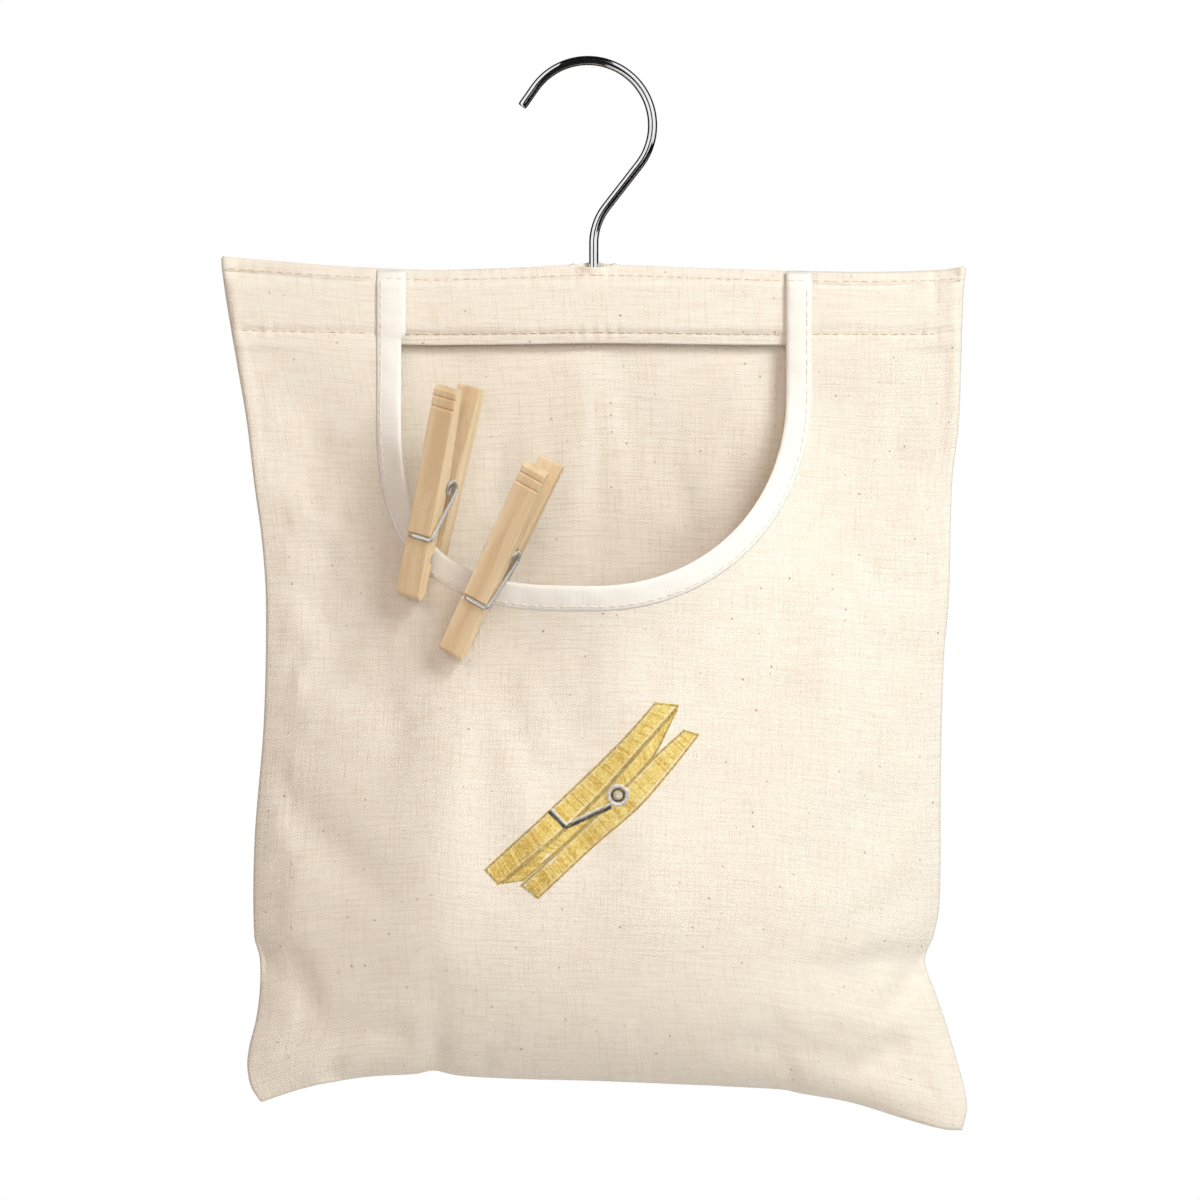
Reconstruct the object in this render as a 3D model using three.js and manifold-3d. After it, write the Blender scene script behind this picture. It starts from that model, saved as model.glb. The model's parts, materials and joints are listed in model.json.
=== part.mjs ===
// A canvas peg bag sewn round a wooden hanger bar, hung by a swivelling wire hook,
// with two spring pegs clipped to the bound rim of its mouth.
// Millimetres, +Z up, front facing -Y. The origin is the point of the hook that rests on a line.
import * as THREE from "three";
import { mergeVertices } from "three/addons/utils/BufferGeometryUtils.js";
import Module from "manifold-3d";

const wasm = await Module();
wasm.setup();

// Fits
const sewnGap = 0.3; // between layers that are sewn or folded together
const runningGap = 0.3; // between a piece and the seat that it turns or springs in
const gripSlack = 0.9; // on each side of the rim in a peg's jaws
const hookRoom = 0.6; // round the shank where it leaves the cloth

// Cloth
const clothThickness = 0.8;
const tapeThickness = 0.8;
const tapeWidth = 10;

// Hook
const hookWire = 3.8; // diameter
const loopRadius = 26; // to the middle of the wire
const shankOffset = 2.4; // from the resting point to the shank, sideways
const neckRadius = 24;
const neckDepth = 71.6; // from the resting point down to where the shank runs straight
const tipTurn = 145; // degrees round the loop where the tip leaves it
const tipLength = 9;
const headThickness = 1.8;
const headOverlap = 1.1; // of the riveted head past the shank
const washerThickness = 0.8;
const washerOverlap = 1.7; // of the washer past the shank

// Hanger bar
const barLength = 276;
const barHeight = 15;
const barThickness = 8;
const barCorner = 4;
const notchRoom = 1.4; // round the washer and the head, in the notch in the bar's lower edge

// Bag
const topDepth = 81; // from the resting point down to the top edge
const cornerMargin = 11.5; // from the bar's ends to the top corners
const bagHeight = 325; // from the top edge to the bottom seam at its middle
const topMargin = 4.4; // from the top edge to its row of stitches
const hemEase = 3.5; // from the bar to the rows of stitches above and below it
const hemLap = 4.5; // of the hem below its stitches
const bellyFront = 34; // fullness of the filled pouch
const bellyBack = 25;
const gape = 45; // how far the mouth's lip stands out
const leftEarDrop = 11; // bottom corners below the middle of the bottom seam
const rightEarDrop = 21.6;

// How far each side seam is drawn in, as a share of the width, against the share of the height
// below the top edge.
const leftSeam = [
  [0, 0], [0.15, 0.032], [0.42, 0.062], [0.74, 0.045], [0.9, 0.0535], [0.98, 0.035], [1.035, 0.062],
];
const rightSeam = [
  [0, 0], [0.21, 0.0117], [0.73, 0.0318], [0.86, 0.0552], [0.94, 0.0268], [1.025, -0.0017], [1.067, 0.0134],
];

// Main folds of the cloth, which run down it and stand out from it. Their ends are shares of the
// half width to the right, and of the height below the top edge.
const foldWidth = 17;
const frontFolds = [
  { from: [-0.38, 0.57], to: [-0.43, 0.83], height: 2.6 },
  { from: [0.12, 0.5], to: [0.16, 0.78], height: 2.2 },
  { from: [0.62, 0.4], to: [0.7, 0.75], height: 2.6 },
];
const backFolds = [
  { from: [-0.62, 0.42], to: [-0.66, 0.85], height: 2.6 },
  { from: [-0.22, 0.36], to: [-0.26, 0.88], height: 2.4 },
  { from: [0.2, 0.36], to: [0.26, 0.86], height: 2.6 },
  { from: [0.6, 0.42], to: [0.66, 0.85], height: 2.4 },
];

// Mouth
const mouthRadius = 77;
const mouthStraight = 51; // from the top edge down to where the sides start to curve
const mouthSquareLeft = 3.2; // 2 is a quarter circle, more is squarer: the pegs pull this side down
const mouthSquareRight = 2.1;

// Pegs
const pegWidth = 10.5;
const handleLength = 40; // from the spring's axis
const jawLength = 46;
const legThickness = 7.5; // at the spring
const legTilt = 2.5; // degrees between a leg's outer face and its jaw face
const handleTaper = 7.5; // degrees between a leg's jaw face and its handle's inner face
const lineNotchRadius = 2.2;
const lineNotchDepth = 29; // below the spring's axis
const gripGroove = 0.6;
const gripGrooveSpacing = 4.2;
const gripGrooves = 2;
const tipChamfer = 1.5;
const springWire = 1.7; // diameter
const coilRadius = 2.75; // to the middle of the wire
const coilTurns = 4; // whole turns, besides the part turn between the arms
const armDepth = 21; // from the spring's axis down to where an arm crosses its leg
const armSink = 0.6; // of the arm in its groove
const armShort = 1.5; // between an arm's end and the far side of the leg
const leftPegReach = 21.8; // from the rim to the spring's axis
const rightPegReach = 11.8;
const pegs = {
  left: { mouthTurn: 39.3, rimToSpring: leftPegReach, turn: 12.1 },
  right: { mouthTurn: 68.8, rimToSpring: rightPegReach, turn: 25.7 },
};

// Facets
const barColumns = 22;
const pouchRows = 17;
const mouthSteps = 36;
const roundSides = 24;

// Levels and widths that follow from the sizes above
const wireRadius = hookWire / 2;
const topEdge = -topDepth;
const topStitch = topEdge - topMargin;
const barTop = topStitch - hemEase;
const barBottom = barTop - barHeight;
const hemStitch = barBottom - hemEase;
const hemEdge = hemStitch - hemLap;
const bagWidth = barLength + 2 * cornerMargin;
const headRadius = wireRadius + headOverlap;
const washerRadius = wireRadius + washerOverlap;
const notchDepth = washerThickness + headThickness + 2 * runningGap + notchRoom;
const notchTop = barBottom + notchDepth;
const sewn = sewnGap / 2; // from the bag's middle plane to a sewn layer
const barRoom = barThickness / 2 + runningGap;
const frontStandOff = clothThickness + tapeThickness + 2 * sewnGap;
const rimStack = clothThickness + 2 * (tapeThickness + sewnGap);
const jawHalfGap = rimStack / 2 + gripSlack;
const springRadius = springWire / 2;
const mouthCentre = topEdge - mouthStraight;

const radians = THREE.MathUtils.degToRad;
const { smoothstep, clamp, lerp } = THREE.MathUtils;

const canvas = { color: 0xf3e6d3, roughness: 0.95, metalness: 0 };
const tape = { color: 0xfaf6f0, roughness: 0.9, metalness: 0 };
const wood = { color: 0xd9b98c, roughness: 0.6, metalness: 0 };
const chrome = { color: 0xd8d8da, roughness: 0.12, metalness: 1 };
const steel = { color: 0xb9babd, roughness: 0.3, metalness: 1 };

function piece(name, geometry, look) {
  geometry.computeVertexNormals();
  const mesh = new THREE.Mesh(geometry, new THREE.MeshStandardMaterial(look));
  mesh.name = name;
  return mesh;
}

// Solids and booleans

function geometryOf(vertices, faces) {
  const geometry = new THREE.BufferGeometry();
  geometry.setAttribute("position", new THREE.Float32BufferAttribute(vertices, 3));
  geometry.setIndex(faces);
  return geometry;
}

function solidOf(geometry) {
  const bare = geometry.clone();
  bare.deleteAttribute("normal");
  bare.deleteAttribute("uv");
  const merged = mergeVertices(bare);
  const vertProperties = new Float32Array(merged.attributes.position.array);
  const triVerts = new Uint32Array(merged.index.array);
  return new wasm.Manifold(new wasm.Mesh({ numProp: 3, vertProperties, triVerts }));
}

function geometryFrom(solid) {
  const mesh = solid.getMesh();
  return geometryOf(Array.from(mesh.vertProperties), Array.from(mesh.triVerts));
}

function signedVolume(vertices, faces) {
  const corner = (i) => new THREE.Vector3().fromArray(vertices, faces[i] * 3);
  let volume = 0;
  for (let i = 0; i < faces.length; i += 3) {
    volume += corner(i).dot(corner(i + 1).cross(corner(i + 2))) / 6;
  }
  return volume;
}

// A closed sheet between two grids of points, each a list of columns.
function sheetBetween(outer, inner) {
  const columns = outer.length;
  const rows = outer[0].length;
  const vertices = [outer, inner].flat(2).flatMap((p) => p.toArray());
  const at = (layer, column, row) => (layer * columns + column) * rows + row;
  const faces = [];
  const quad = (a, b, c, d) => faces.push(a, b, c, a, c, d);
  for (let i = 0; i + 1 < columns; i++) {
    for (let j = 0; j + 1 < rows; j++) {
      quad(at(0, i, j), at(0, i + 1, j), at(0, i + 1, j + 1), at(0, i, j + 1));
      quad(at(1, i, j), at(1, i, j + 1), at(1, i + 1, j + 1), at(1, i + 1, j));
    }
    quad(at(1, i, 0), at(1, i + 1, 0), at(0, i + 1, 0), at(0, i, 0));
    quad(at(0, i, rows - 1), at(0, i + 1, rows - 1), at(1, i + 1, rows - 1), at(1, i, rows - 1));
  }
  for (let j = 0; j + 1 < rows; j++) {
    quad(at(0, 0, j), at(0, 0, j + 1), at(1, 0, j + 1), at(1, 0, j));
    quad(at(1, columns - 1, j), at(1, columns - 1, j + 1), at(0, columns - 1, j + 1), at(0, columns - 1, j));
  }
  if (signedVolume(vertices, faces) < 0) faces.reverse();
  return geometryOf(vertices, faces);
}

// A round wire along a list of points, with flat ends.
function wireAlong(points, radius, sides) {
  const vertices = [];
  const faces = [];
  const last = points.length - 1;
  let across = new THREE.Vector3(0, 1, 0);
  points.forEach((point, i) => {
    const before = points[Math.max(i - 1, 0)];
    const after = points[Math.min(i + 1, last)];
    const forward = after.clone().sub(before).normalize();
    across = across.clone().addScaledVector(forward, -across.dot(forward)).normalize();
    const up = forward.clone().cross(across);
    for (let k = 0; k < sides; k++) {
      const turn = (2 * Math.PI * k) / sides;
      const rim = point.clone().addScaledVector(across, radius * Math.cos(turn));
      vertices.push(...rim.addScaledVector(up, radius * Math.sin(turn)).toArray());
    }
  });
  for (let i = 0; i < last; i++) {
    for (let k = 0; k < sides; k++) {
      const next = (k + 1) % sides;
      const [a, b, c, d] = [i * sides + k, i * sides + next, (i + 1) * sides + next, (i + 1) * sides + k];
      faces.push(a, b, c, a, c, d);
    }
  }
  for (let k = 1; k + 1 < sides; k++) {
    faces.push(0, k + 1, k);
    faces.push(last * sides, last * sides + k, last * sides + k + 1);
  }
  if (signedVolume(vertices, faces) < 0) faces.reverse();
  return geometryOf(vertices, faces);
}

// An outline in X and Z, drawn out along Y from one face to the other.
function drawnAlongY(outline, yFront, yBack) {
  const shape = new THREE.Shape(outline);
  const geometry = new THREE.ExtrudeGeometry(shape, { depth: yBack - yFront, bevelEnabled: false });
  geometry.rotateX(Math.PI / 2);
  geometry.translate(0, yBack, 0);
  return geometry;
}

// A standing cylinder between two heights.
function uprightCylinder(radius, bottom, top) {
  const geometry = new THREE.CylinderGeometry(radius, radius, top - bottom, roundSides);
  geometry.rotateX(Math.PI / 2);
  geometry.translate(0, 0, (top + bottom) / 2);
  return geometry;
}

// The bag's shape. u runs from -1 at the left seam to 1 at the right seam,
// v from 0 at the hem's stitches to 1 at the bottom seam.

// A smooth curve through a few points, read at one place along it.
function curveThrough(points, t) {
  const found = points.findIndex((point) => point[0] >= t);
  const i = clamp((found < 0 ? points.length : found) - 1, 0, points.length - 2);
  const slope = (k) => {
    const a = points[Math.max(k - 1, 0)];
    const b = points[Math.min(k + 1, points.length - 1)];
    return (b[1] - a[1]) / (b[0] - a[0]);
  };
  const span = points[i + 1][0] - points[i][0];
  const s = (t - points[i][0]) / span;
  const start = (1 + 2 * s) * (1 - s) ** 2 * points[i][1] + s * (1 - s) ** 2 * span * slope(i);
  const end = s ** 2 * (3 - 2 * s) * points[i + 1][1] + s ** 2 * (s - 1) * span * slope(i + 1);
  return start + end;
}

function seamsAt(z) {
  const share = Math.max(0, (topEdge - z) / bagHeight);
  const left = bagWidth * (curveThrough(leftSeam, share) - 0.5);
  const right = bagWidth * (0.5 - curveThrough(rightSeam, share));
  return { middle: (left + right) / 2, half: (right - left) / 2 };
}

function bottomSeam(u) {
  const ear = u < 0 ? leftEarDrop * u ** 8 : rightEarDrop * Math.abs(u) ** 2.2;
  return topEdge - bagHeight - ear;
}

function xAt(u, z) {
  const { middle, half } = seamsAt(z);
  return middle + u * half;
}

function shareAcross(x, z) {
  const { middle, half } = seamsAt(z);
  return (x - middle) / half;
}

function shareDown(u, z) {
  return clamp((hemStitch - z) / (hemStitch - bottomSeam(u)), 0, 1);
}

// The column of the cloth that clears the bar's ends, where the hem is narrowest.
const hemSeams = seamsAt(hemStitch);
const barShare = (barLength / 2 + runningGap + Math.abs(hemSeams.middle)) / hemSeams.half;

// Half of the room inside the hem: the bar fills it, and the stitches close it.
function hemHalf(u, z) {
  const barEnd = clamp((1 - Math.abs(u)) / (1 - barShare), 0, 1);
  const above = clamp((topStitch - z) / (topStitch - barTop - runningGap), 0, 1);
  const below = clamp((z - hemStitch) / (barBottom - runningGap - hemStitch), 0, 1);
  return lerp(sewn, barRoom, barEnd * Math.min(above, below));
}

function belly(u, v) {
  const across = (1 - Math.min(1, Math.abs(u)) ** 2.6) ** 0.75;
  return across * Math.max(0, Math.sin(Math.PI * v ** 2.2)) ** 0.65;
}

function lip(u, v) {
  const across = Math.cos((Math.PI / 2) * clamp((u + 0.085) / 0.755, -1, 1)) ** 2; // pulled to the pegs' side
  const down = Math.exp(-(((v - 0.2) / 0.2) ** 2)) * smoothstep(v, 0, 0.15);
  return across * down;
}

// How far folds stand out at a place on the cloth. They fade where the pouch is flat.
function folded(folds, u, z) {
  const place = new THREE.Vector3(xAt(u, z), 0, z);
  const at = ([side, down]) => new THREE.Vector3((side * bagWidth) / 2, 0, topEdge - down * bagHeight);
  const full = smoothstep(belly(u, shareDown(u, z)), 0, 0.5);
  let height = 0;
  for (const fold of folds) {
    const line = new THREE.Line3(at(fold.from), at(fold.to));
    const away = line.closestPointToPoint(place, true, new THREE.Vector3()).distanceTo(place);
    height += full * fold.height * Math.exp(-((away / foldWidth) ** 2));
  }
  return height;
}

// Distance from the middle plane to the inner face of the front panel, and of the back panel.
function frontDepth(u, z) {
  const v = shareDown(u, z);
  const standOff = frontStandOff * (1 - smoothstep(v, 0.02, 0.1));
  const pouch = bellyFront * belly(u, v) + gape * lip(u, v);
  return hemHalf(u, z) + standOff + pouch + folded(frontFolds, u, z);
}

function backDepth(u, z) {
  return hemHalf(u, z) + bellyBack * belly(u, shareDown(u, z)) + folded(backFolds, u, z);
}

// Columns of the cloth's grid: even along the bar, then one to each seam.
const columns = [-1];
for (let i = 0; i <= barColumns; i++) columns.push(lerp(-barShare, barShare, i / barColumns));
columns.push(1);

const hemLevels = [topStitch, barTop + runningGap, barBottom - runningGap, hemStitch];

function pouchLevels(u) {
  const levels = [];
  for (let i = 1; i <= pouchRows; i++) {
    const share = (i / pouchRows) * (1.25 - 0.25 * (i / pouchRows) ** 2);
    levels.push(lerp(hemStitch, bottomSeam(u), share));
  }
  return levels;
}

// The front panel's surface, a given distance in front of its inner face.
function frontSurface(distance, top) {
  return columns.map((u) => {
    const levels = [top, ...hemLevels, ...pouchLevels(u)];
    return levels.map((z) => new THREE.Vector3(xAt(u, z), -frontDepth(u, z) - distance, z));
  });
}

// A point on the mouth's curve, from 0 degrees at the left to 180 at the right.
function mouthPoint(turn) {
  const [x, z] = [-Math.cos(radians(turn)), -Math.sin(radians(turn))];
  const power = 2 / (x < 0 ? mouthSquareLeft : mouthSquareRight);
  const reach = Math.sign(x) * Math.abs(x) ** power;
  return new THREE.Vector2(mouthRadius * reach, mouthCentre - mouthRadius * Math.abs(z) ** power);
}

// The mouth's edge from the top left to the top right, moved outwards by a distance.
function mouthEdge(outwards, top) {
  const edge = [];
  for (let i = 0; i <= mouthSteps; i++) edge.push(mouthPoint((180 * i) / mouthSteps));
  const moved = edge.map((point, i) => {
    if (i === 0 || i === mouthSteps) return point.clone().setX(point.x + (i ? outwards : -outwards));
    const along = edge[i + 1].clone().sub(edge[i - 1]).normalize();
    return point.clone().add(new THREE.Vector2(along.y, -along.x).multiplyScalar(outwards));
  });
  const side = mouthRadius + outwards;
  return [new THREE.Vector2(-side, top), ...moved, new THREE.Vector2(side, top)];
}

const clearOfBag = bellyFront + bellyBack + gape; // reaches past the cloth, front and back
const aboveTop = topEdge + topMargin;

function mouthCut(outwards) {
  return solidOf(drawnAlongY(mouthEdge(outwards, aboveTop), -clearOfBag, clearOfBag));
}

function frontPanel() {
  const sheet = solidOf(sheetBetween(frontSurface(clothThickness, topEdge), frontSurface(0, topEdge)));
  return geometryFrom(sheet.subtract(mouthCut(tapeThickness + sewnGap)));
}

// The tape is folded round the panel's raw edge, so it is a channel that the panel sits in.
function rimBinding() {
  const tapeFar = sewnGap + tapeThickness;
  const around = [frontSurface(clothThickness + tapeFar, aboveTop), frontSurface(-tapeFar, aboveTop)];
  const within = [frontSurface(clothThickness + sewnGap, aboveTop), frontSurface(-sewnGap, aboveTop)];
  const outline = [...mouthEdge(tapeWidth, topEdge), ...mouthEdge(0, topEdge).reverse()];
  const band = solidOf(drawnAlongY(outline, -clearOfBag, clearOfBag));
  const channel = solidOf(sheetBetween(...within)).subtract(mouthCut(tapeThickness));
  return geometryFrom(band.intersect(solidOf(sheetBetween(...around))).subtract(channel));
}

// Up the back from the bottom seam, over the bar, and down its front to the hem's edge.
function backPanel() {
  const surface = (distance) =>
    columns.map((u) => {
      const point = (z, side) => {
        const y = side > 0 ? backDepth(u, z) : hemHalf(u, z);
        return new THREE.Vector3(xAt(u, z), side * (y + distance), z);
      };
      const fold = topEdge - clothThickness + distance;
      const up = [...pouchLevels(u).reverse(), ...hemLevels.toReversed(), fold].map((z) => point(z, 1));
      const down = [fold, ...hemLevels, hemEdge].map((z) => point(z, -1));
      return [...up, ...down];
    });
  const sheet = solidOf(sheetBetween(surface(clothThickness), surface(0)));
  const slit = uprightCylinder(wireRadius + hookRoom, barTop, aboveTop);
  return geometryFrom(sheet.subtract(solidOf(slit)));
}

// Hanger bar, washer and hook

function hangerBar() {
  const [x, r] = [barLength / 2, barCorner];
  const outline = new THREE.Shape();
  outline.absarc(x - r, barTop - r, r, 0, Math.PI / 2);
  outline.absarc(r - x, barTop - r, r, Math.PI / 2, Math.PI);
  outline.absarc(r - x, barBottom + r, r, Math.PI, 1.5 * Math.PI);
  outline.absarc(x - r, barBottom + r, r, 1.5 * Math.PI, 2 * Math.PI);
  const lath = drawnAlongY(outline.getPoints(4), -barThickness / 2, barThickness / 2);
  const notch = new THREE.BoxGeometry(2 * (washerRadius + notchRoom), 2 * barThickness, 2 * notchDepth);
  notch.translate(0, 0, barBottom);
  const bore = uprightCylinder(wireRadius + runningGap, barBottom, aboveTop);
  return geometryFrom(solidOf(lath).subtract(solidOf(notch)).subtract(solidOf(bore)));
}

const washerTop = notchTop - runningGap;
const washerBottom = washerTop - washerThickness;
const headTop = washerBottom - runningGap;

function hookWasher() {
  const inside = wireRadius + runningGap;
  const low = [[inside, 0], [washerRadius, 0]];
  const high = [[washerRadius, washerThickness], [inside, washerThickness]];
  const points = [...low, ...high, low[0]].map(([r, h]) => new THREE.Vector2(r, h));
  const ring = new THREE.LatheGeometry(points, roundSides);
  ring.rotateX(Math.PI / 2);
  ring.translate(0, 0, washerBottom);
  return ring;
}

// The loop runs over the line and into a straight neck, tangent to it and to the bend into the shank.
function hookRoute() {
  const loop = new THREE.Vector2(0, wireRadius - loopRadius);
  const bend = new THREE.Vector2(shankOffset + neckRadius, -neckDepth);
  const between = bend.clone().sub(loop);
  const touch = between.angle() + Math.acos((loopRadius + neckRadius) / between.length()) - 2 * Math.PI;
  const around = (centre, radius, turn) =>
    new THREE.Vector2(Math.cos(turn), Math.sin(turn)).multiplyScalar(radius).add(centre);
  const shank = [headTop - headThickness / 2, -topDepth];
  const route = shank.map((z) => new THREE.Vector2(shankOffset, z));
  const bendSteps = 6;
  for (let i = 0; i <= bendSteps; i++) {
    route.push(around(bend, neckRadius, lerp(Math.PI, Math.PI + touch, i / bendSteps)));
  }
  const loopSteps = 20;
  for (let i = 0; i <= loopSteps; i++) {
    route.push(around(loop, loopRadius, lerp(touch, radians(tipTurn), i / loopSteps)));
  }
  const tip = new THREE.Vector2(-Math.sin(radians(tipTurn)), Math.cos(radians(tipTurn)));
  route.push(route.at(-1).clone().addScaledVector(tip, tipLength));
  return route.map((p) => new THREE.Vector3(p.x, 0, p.y));
}

function hook() {
  const head = uprightCylinder(headRadius, headTop - headThickness, headTop);
  head.translate(shankOffset, 0, 0);
  return geometryFrom(solidOf(wireAlong(hookRoute(), wireRadius, 12)).add(solidOf(head)));
}

// Pegs. In a peg's own frame the spring's axis is X, the handles point up and Y runs to the rear leg.

const seatRadius = coilRadius + springRadius + runningGap;
const tilt = Math.tan(radians(legTilt));
const outerFace = (height) => jawHalfGap + legThickness + height * tilt;
const armOut = outerFace(-armDepth) + springRadius - armSink;
const grooveRadius = springRadius + runningGap;

// The side view of the rear leg, its outer face to the right.
function legOutline() {
  const outline = new THREE.Shape();
  outline.moveTo(jawHalfGap + tipChamfer, -jawLength);
  outline.lineTo(outerFace(-jawLength) - tipChamfer, -jawLength);
  outline.lineTo(outerFace(tipChamfer - jawLength), tipChamfer - jawLength);
  const armHalf = Math.acos((springRadius - armSink) / grooveRadius);
  outline.absarc(armOut, -armDepth, grooveRadius, Math.PI + armHalf, Math.PI - armHalf, true);
  for (let i = gripGrooves; i > 0; i--) {
    const height = handleLength - i * gripGrooveSpacing;
    outline.lineTo(outerFace(height), height - gripGroove);
    outline.lineTo(outerFace(height) - gripGroove, height);
    outline.lineTo(outerFace(height), height + gripGroove);
  }
  outline.lineTo(outerFace(handleLength - tipChamfer), handleLength - tipChamfer);
  outline.lineTo(outerFace(handleLength) - tipChamfer, handleLength);
  const seatHalf = Math.acos(jawHalfGap / seatRadius);
  const seatTop = seatRadius * Math.sin(seatHalf);
  outline.lineTo(jawHalfGap + (handleLength - seatTop) * Math.tan(radians(handleTaper)), handleLength);
  outline.absarc(0, 0, seatRadius, seatHalf, -seatHalf, true);
  outline.absarc(jawHalfGap, -lineNotchDepth, lineNotchRadius, Math.PI / 2, -Math.PI / 2, true);
  outline.lineTo(jawHalfGap, tipChamfer * 2 - jawLength);
  return outline;
}

function pegLeg() {
  const options = { depth: pegWidth, bevelEnabled: false, curveSegments: 6 };
  const geometry = new THREE.ExtrudeGeometry(legOutline(), options);
  const axes = new THREE.Matrix4().makeBasis(
    new THREE.Vector3(0, 1, 0), new THREE.Vector3(0, 0, 1), new THREE.Vector3(1, 0, 0));
  return geometry.translate(0, 0, -pegWidth / 2).applyMatrix4(axes);
}

// One wire: across the front leg, up its side, round the coil, down the other side, across the rear leg.
function springRoute() {
  const side = pegWidth / 2 + runningGap + springRadius;
  const reach = Math.hypot(armOut, armDepth);
  const leave = Math.atan2(-armDepth, -armOut) + Math.acos(coilRadius / reach);
  const wound = 2 * Math.PI * coilTurns + Math.PI - 2 * leave;
  const steps = Math.ceil((8 * wound) / (2 * Math.PI));
  const coil = [];
  for (let i = 0; i <= steps; i++) {
    const turn = leave + (wound * i) / steps;
    const x = lerp(side, -side, i / steps);
    coil.push(new THREE.Vector3(x, coilRadius * Math.cos(turn), coilRadius * Math.sin(turn)));
  }
  const arm = (sign, from) => {
    const corner = new THREE.Vector3(sign * side, -sign * armOut, -armDepth);
    const end = new THREE.Vector3(sign * (armShort - pegWidth / 2), -sign * armOut, -armDepth);
    const before = corner.clone().addScaledVector(from.clone().sub(corner).normalize(), springRadius);
    const after = corner.clone().addScaledVector(end.clone().sub(corner).normalize(), springRadius);
    return [...new THREE.QuadraticBezierCurve3(before, corner, after).getPoints(4), end];
  };
  return [...arm(1, coil[0]).reverse(), ...coil, ...arm(-1, coil.at(-1))];
}

// The least clear distance between stretches of one wire that are more than half a coil apart.
function gapToItself(points, radius) {
  const along = [0];
  for (let i = 1; i < points.length; i++) along.push(along[i - 1] + points[i].distanceTo(points[i - 1]));
  let least = Infinity;
  points.forEach((a, i) => {
    points.forEach((b, j) => {
      if (along[j] - along[i] > Math.PI * coilRadius) least = Math.min(least, a.distanceTo(b) - 2 * radius);
    });
  });
  return least;
}

// A peg sits on the rim where the cloth turns it: its jaws lie along the panel from their tips to the rim.
function placePeg(peg, { mouthTurn, rimToSpring, turn }) {
  const rim = mouthPoint(mouthTurn);
  const along = new THREE.Vector2(Math.sin(radians(turn)), Math.cos(radians(turn)));
  const across = new THREE.Vector2(along.y, -along.x);
  const grip = jawLength - rimToSpring;
  const depth = (down, side) => {
    const { x, y: z } = rim.clone().addScaledVector(along, -down).addScaledVector(across, side);
    return frontDepth(shareAcross(x, z), z) + clothThickness / 2;
  };
  const slopeAlong = (depth(0, 0) - depth(grip, 0)) / grip;
  const slopeAcross = (depth(grip / 2, pegWidth / 2) - depth(grip / 2, -pegWidth / 2)) / pegWidth;
  const slopeX = slopeAlong * along.x + slopeAcross * across.x;
  const slopeZ = slopeAlong * along.y + slopeAcross * across.y;
  const crown = depth(grip / 2, 0) - (depth(0, 0) + depth(grip, 0)) / 2;
  const rear = new THREE.Vector3(slopeX, 1, slopeZ).normalize();
  const handle = new THREE.Vector3(along.x, -slopeX * along.x - slopeZ * along.y, along.y).normalize();
  peg.setRotationFromMatrix(new THREE.Matrix4().makeBasis(rear.clone().cross(handle), rear, handle));
  peg.position.set(rim.x, -depth(0, 0) - crown / 2, rim.y).addScaledVector(handle, rimToSpring);
}

function springPeg(name, place) {
  const peg = new THREE.Group();
  peg.name = `${name}_peg`;
  const front = piece(`${name}_peg_front_leg`, pegLeg(), wood);
  front.rotation.z = Math.PI;
  const spring = piece(`${name}_peg_spring`, wireAlong(springRoute(), springRadius, 5), steel);
  peg.add(front, piece(`${name}_peg_rear_leg`, pegLeg(), wood), spring);
  placePeg(peg, place);
  return peg;
}

console.log("least gap in a peg's spring, mm:", gapToItself(springRoute(), springRadius).toFixed(2));

// The bag hangs on the shank, which is its middle line.
const bag = new THREE.Group();
bag.name = "bag";
bag.position.x = shankOffset;
bag.add(
  piece("back_panel", backPanel(), canvas),
  piece("front_panel", frontPanel(), canvas),
  piece("rim_binding", rimBinding(), tape),
  piece("hanger_bar", hangerBar(), wood),
  piece("hook_washer", hookWasher(), steel),
);
for (const [name, place] of Object.entries(pegs)) bag.add(springPeg(name, place));

const pegBag = new THREE.Group();
pegBag.name = "peg_bag";
pegBag.add(piece("hook", hook(), chrome), bag);

export default pegBag;
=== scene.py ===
import json
import math

import bmesh
import bpy
import numpy as np
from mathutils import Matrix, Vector, noise
from mathutils.bvhtree import BVHTree


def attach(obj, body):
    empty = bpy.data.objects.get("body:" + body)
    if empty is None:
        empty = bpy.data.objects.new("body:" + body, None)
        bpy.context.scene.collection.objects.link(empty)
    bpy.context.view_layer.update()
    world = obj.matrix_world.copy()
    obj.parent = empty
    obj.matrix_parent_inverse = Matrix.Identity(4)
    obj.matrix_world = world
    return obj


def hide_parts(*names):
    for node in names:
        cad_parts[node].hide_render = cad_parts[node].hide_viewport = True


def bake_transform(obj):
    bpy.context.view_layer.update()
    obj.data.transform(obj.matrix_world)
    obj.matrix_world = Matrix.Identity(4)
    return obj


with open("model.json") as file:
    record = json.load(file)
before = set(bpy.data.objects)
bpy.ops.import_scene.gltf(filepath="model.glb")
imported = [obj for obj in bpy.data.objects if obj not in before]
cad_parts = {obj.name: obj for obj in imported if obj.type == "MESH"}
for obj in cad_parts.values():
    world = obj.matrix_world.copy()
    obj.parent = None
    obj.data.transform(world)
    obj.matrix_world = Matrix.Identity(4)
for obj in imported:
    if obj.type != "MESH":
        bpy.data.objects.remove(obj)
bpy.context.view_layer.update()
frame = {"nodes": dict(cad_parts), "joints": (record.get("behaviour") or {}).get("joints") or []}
scene = bpy.context.scene
mm = 0.001
shankX = 2.4  # the bag's middle line, from the origin, in mm
print("frame loaded:", len(frame["nodes"]), "nodes")


# small tools

def linked(name, data):
    made = bpy.data.objects.new(name, data)
    scene.collection.objects.link(made)
    return made


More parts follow.
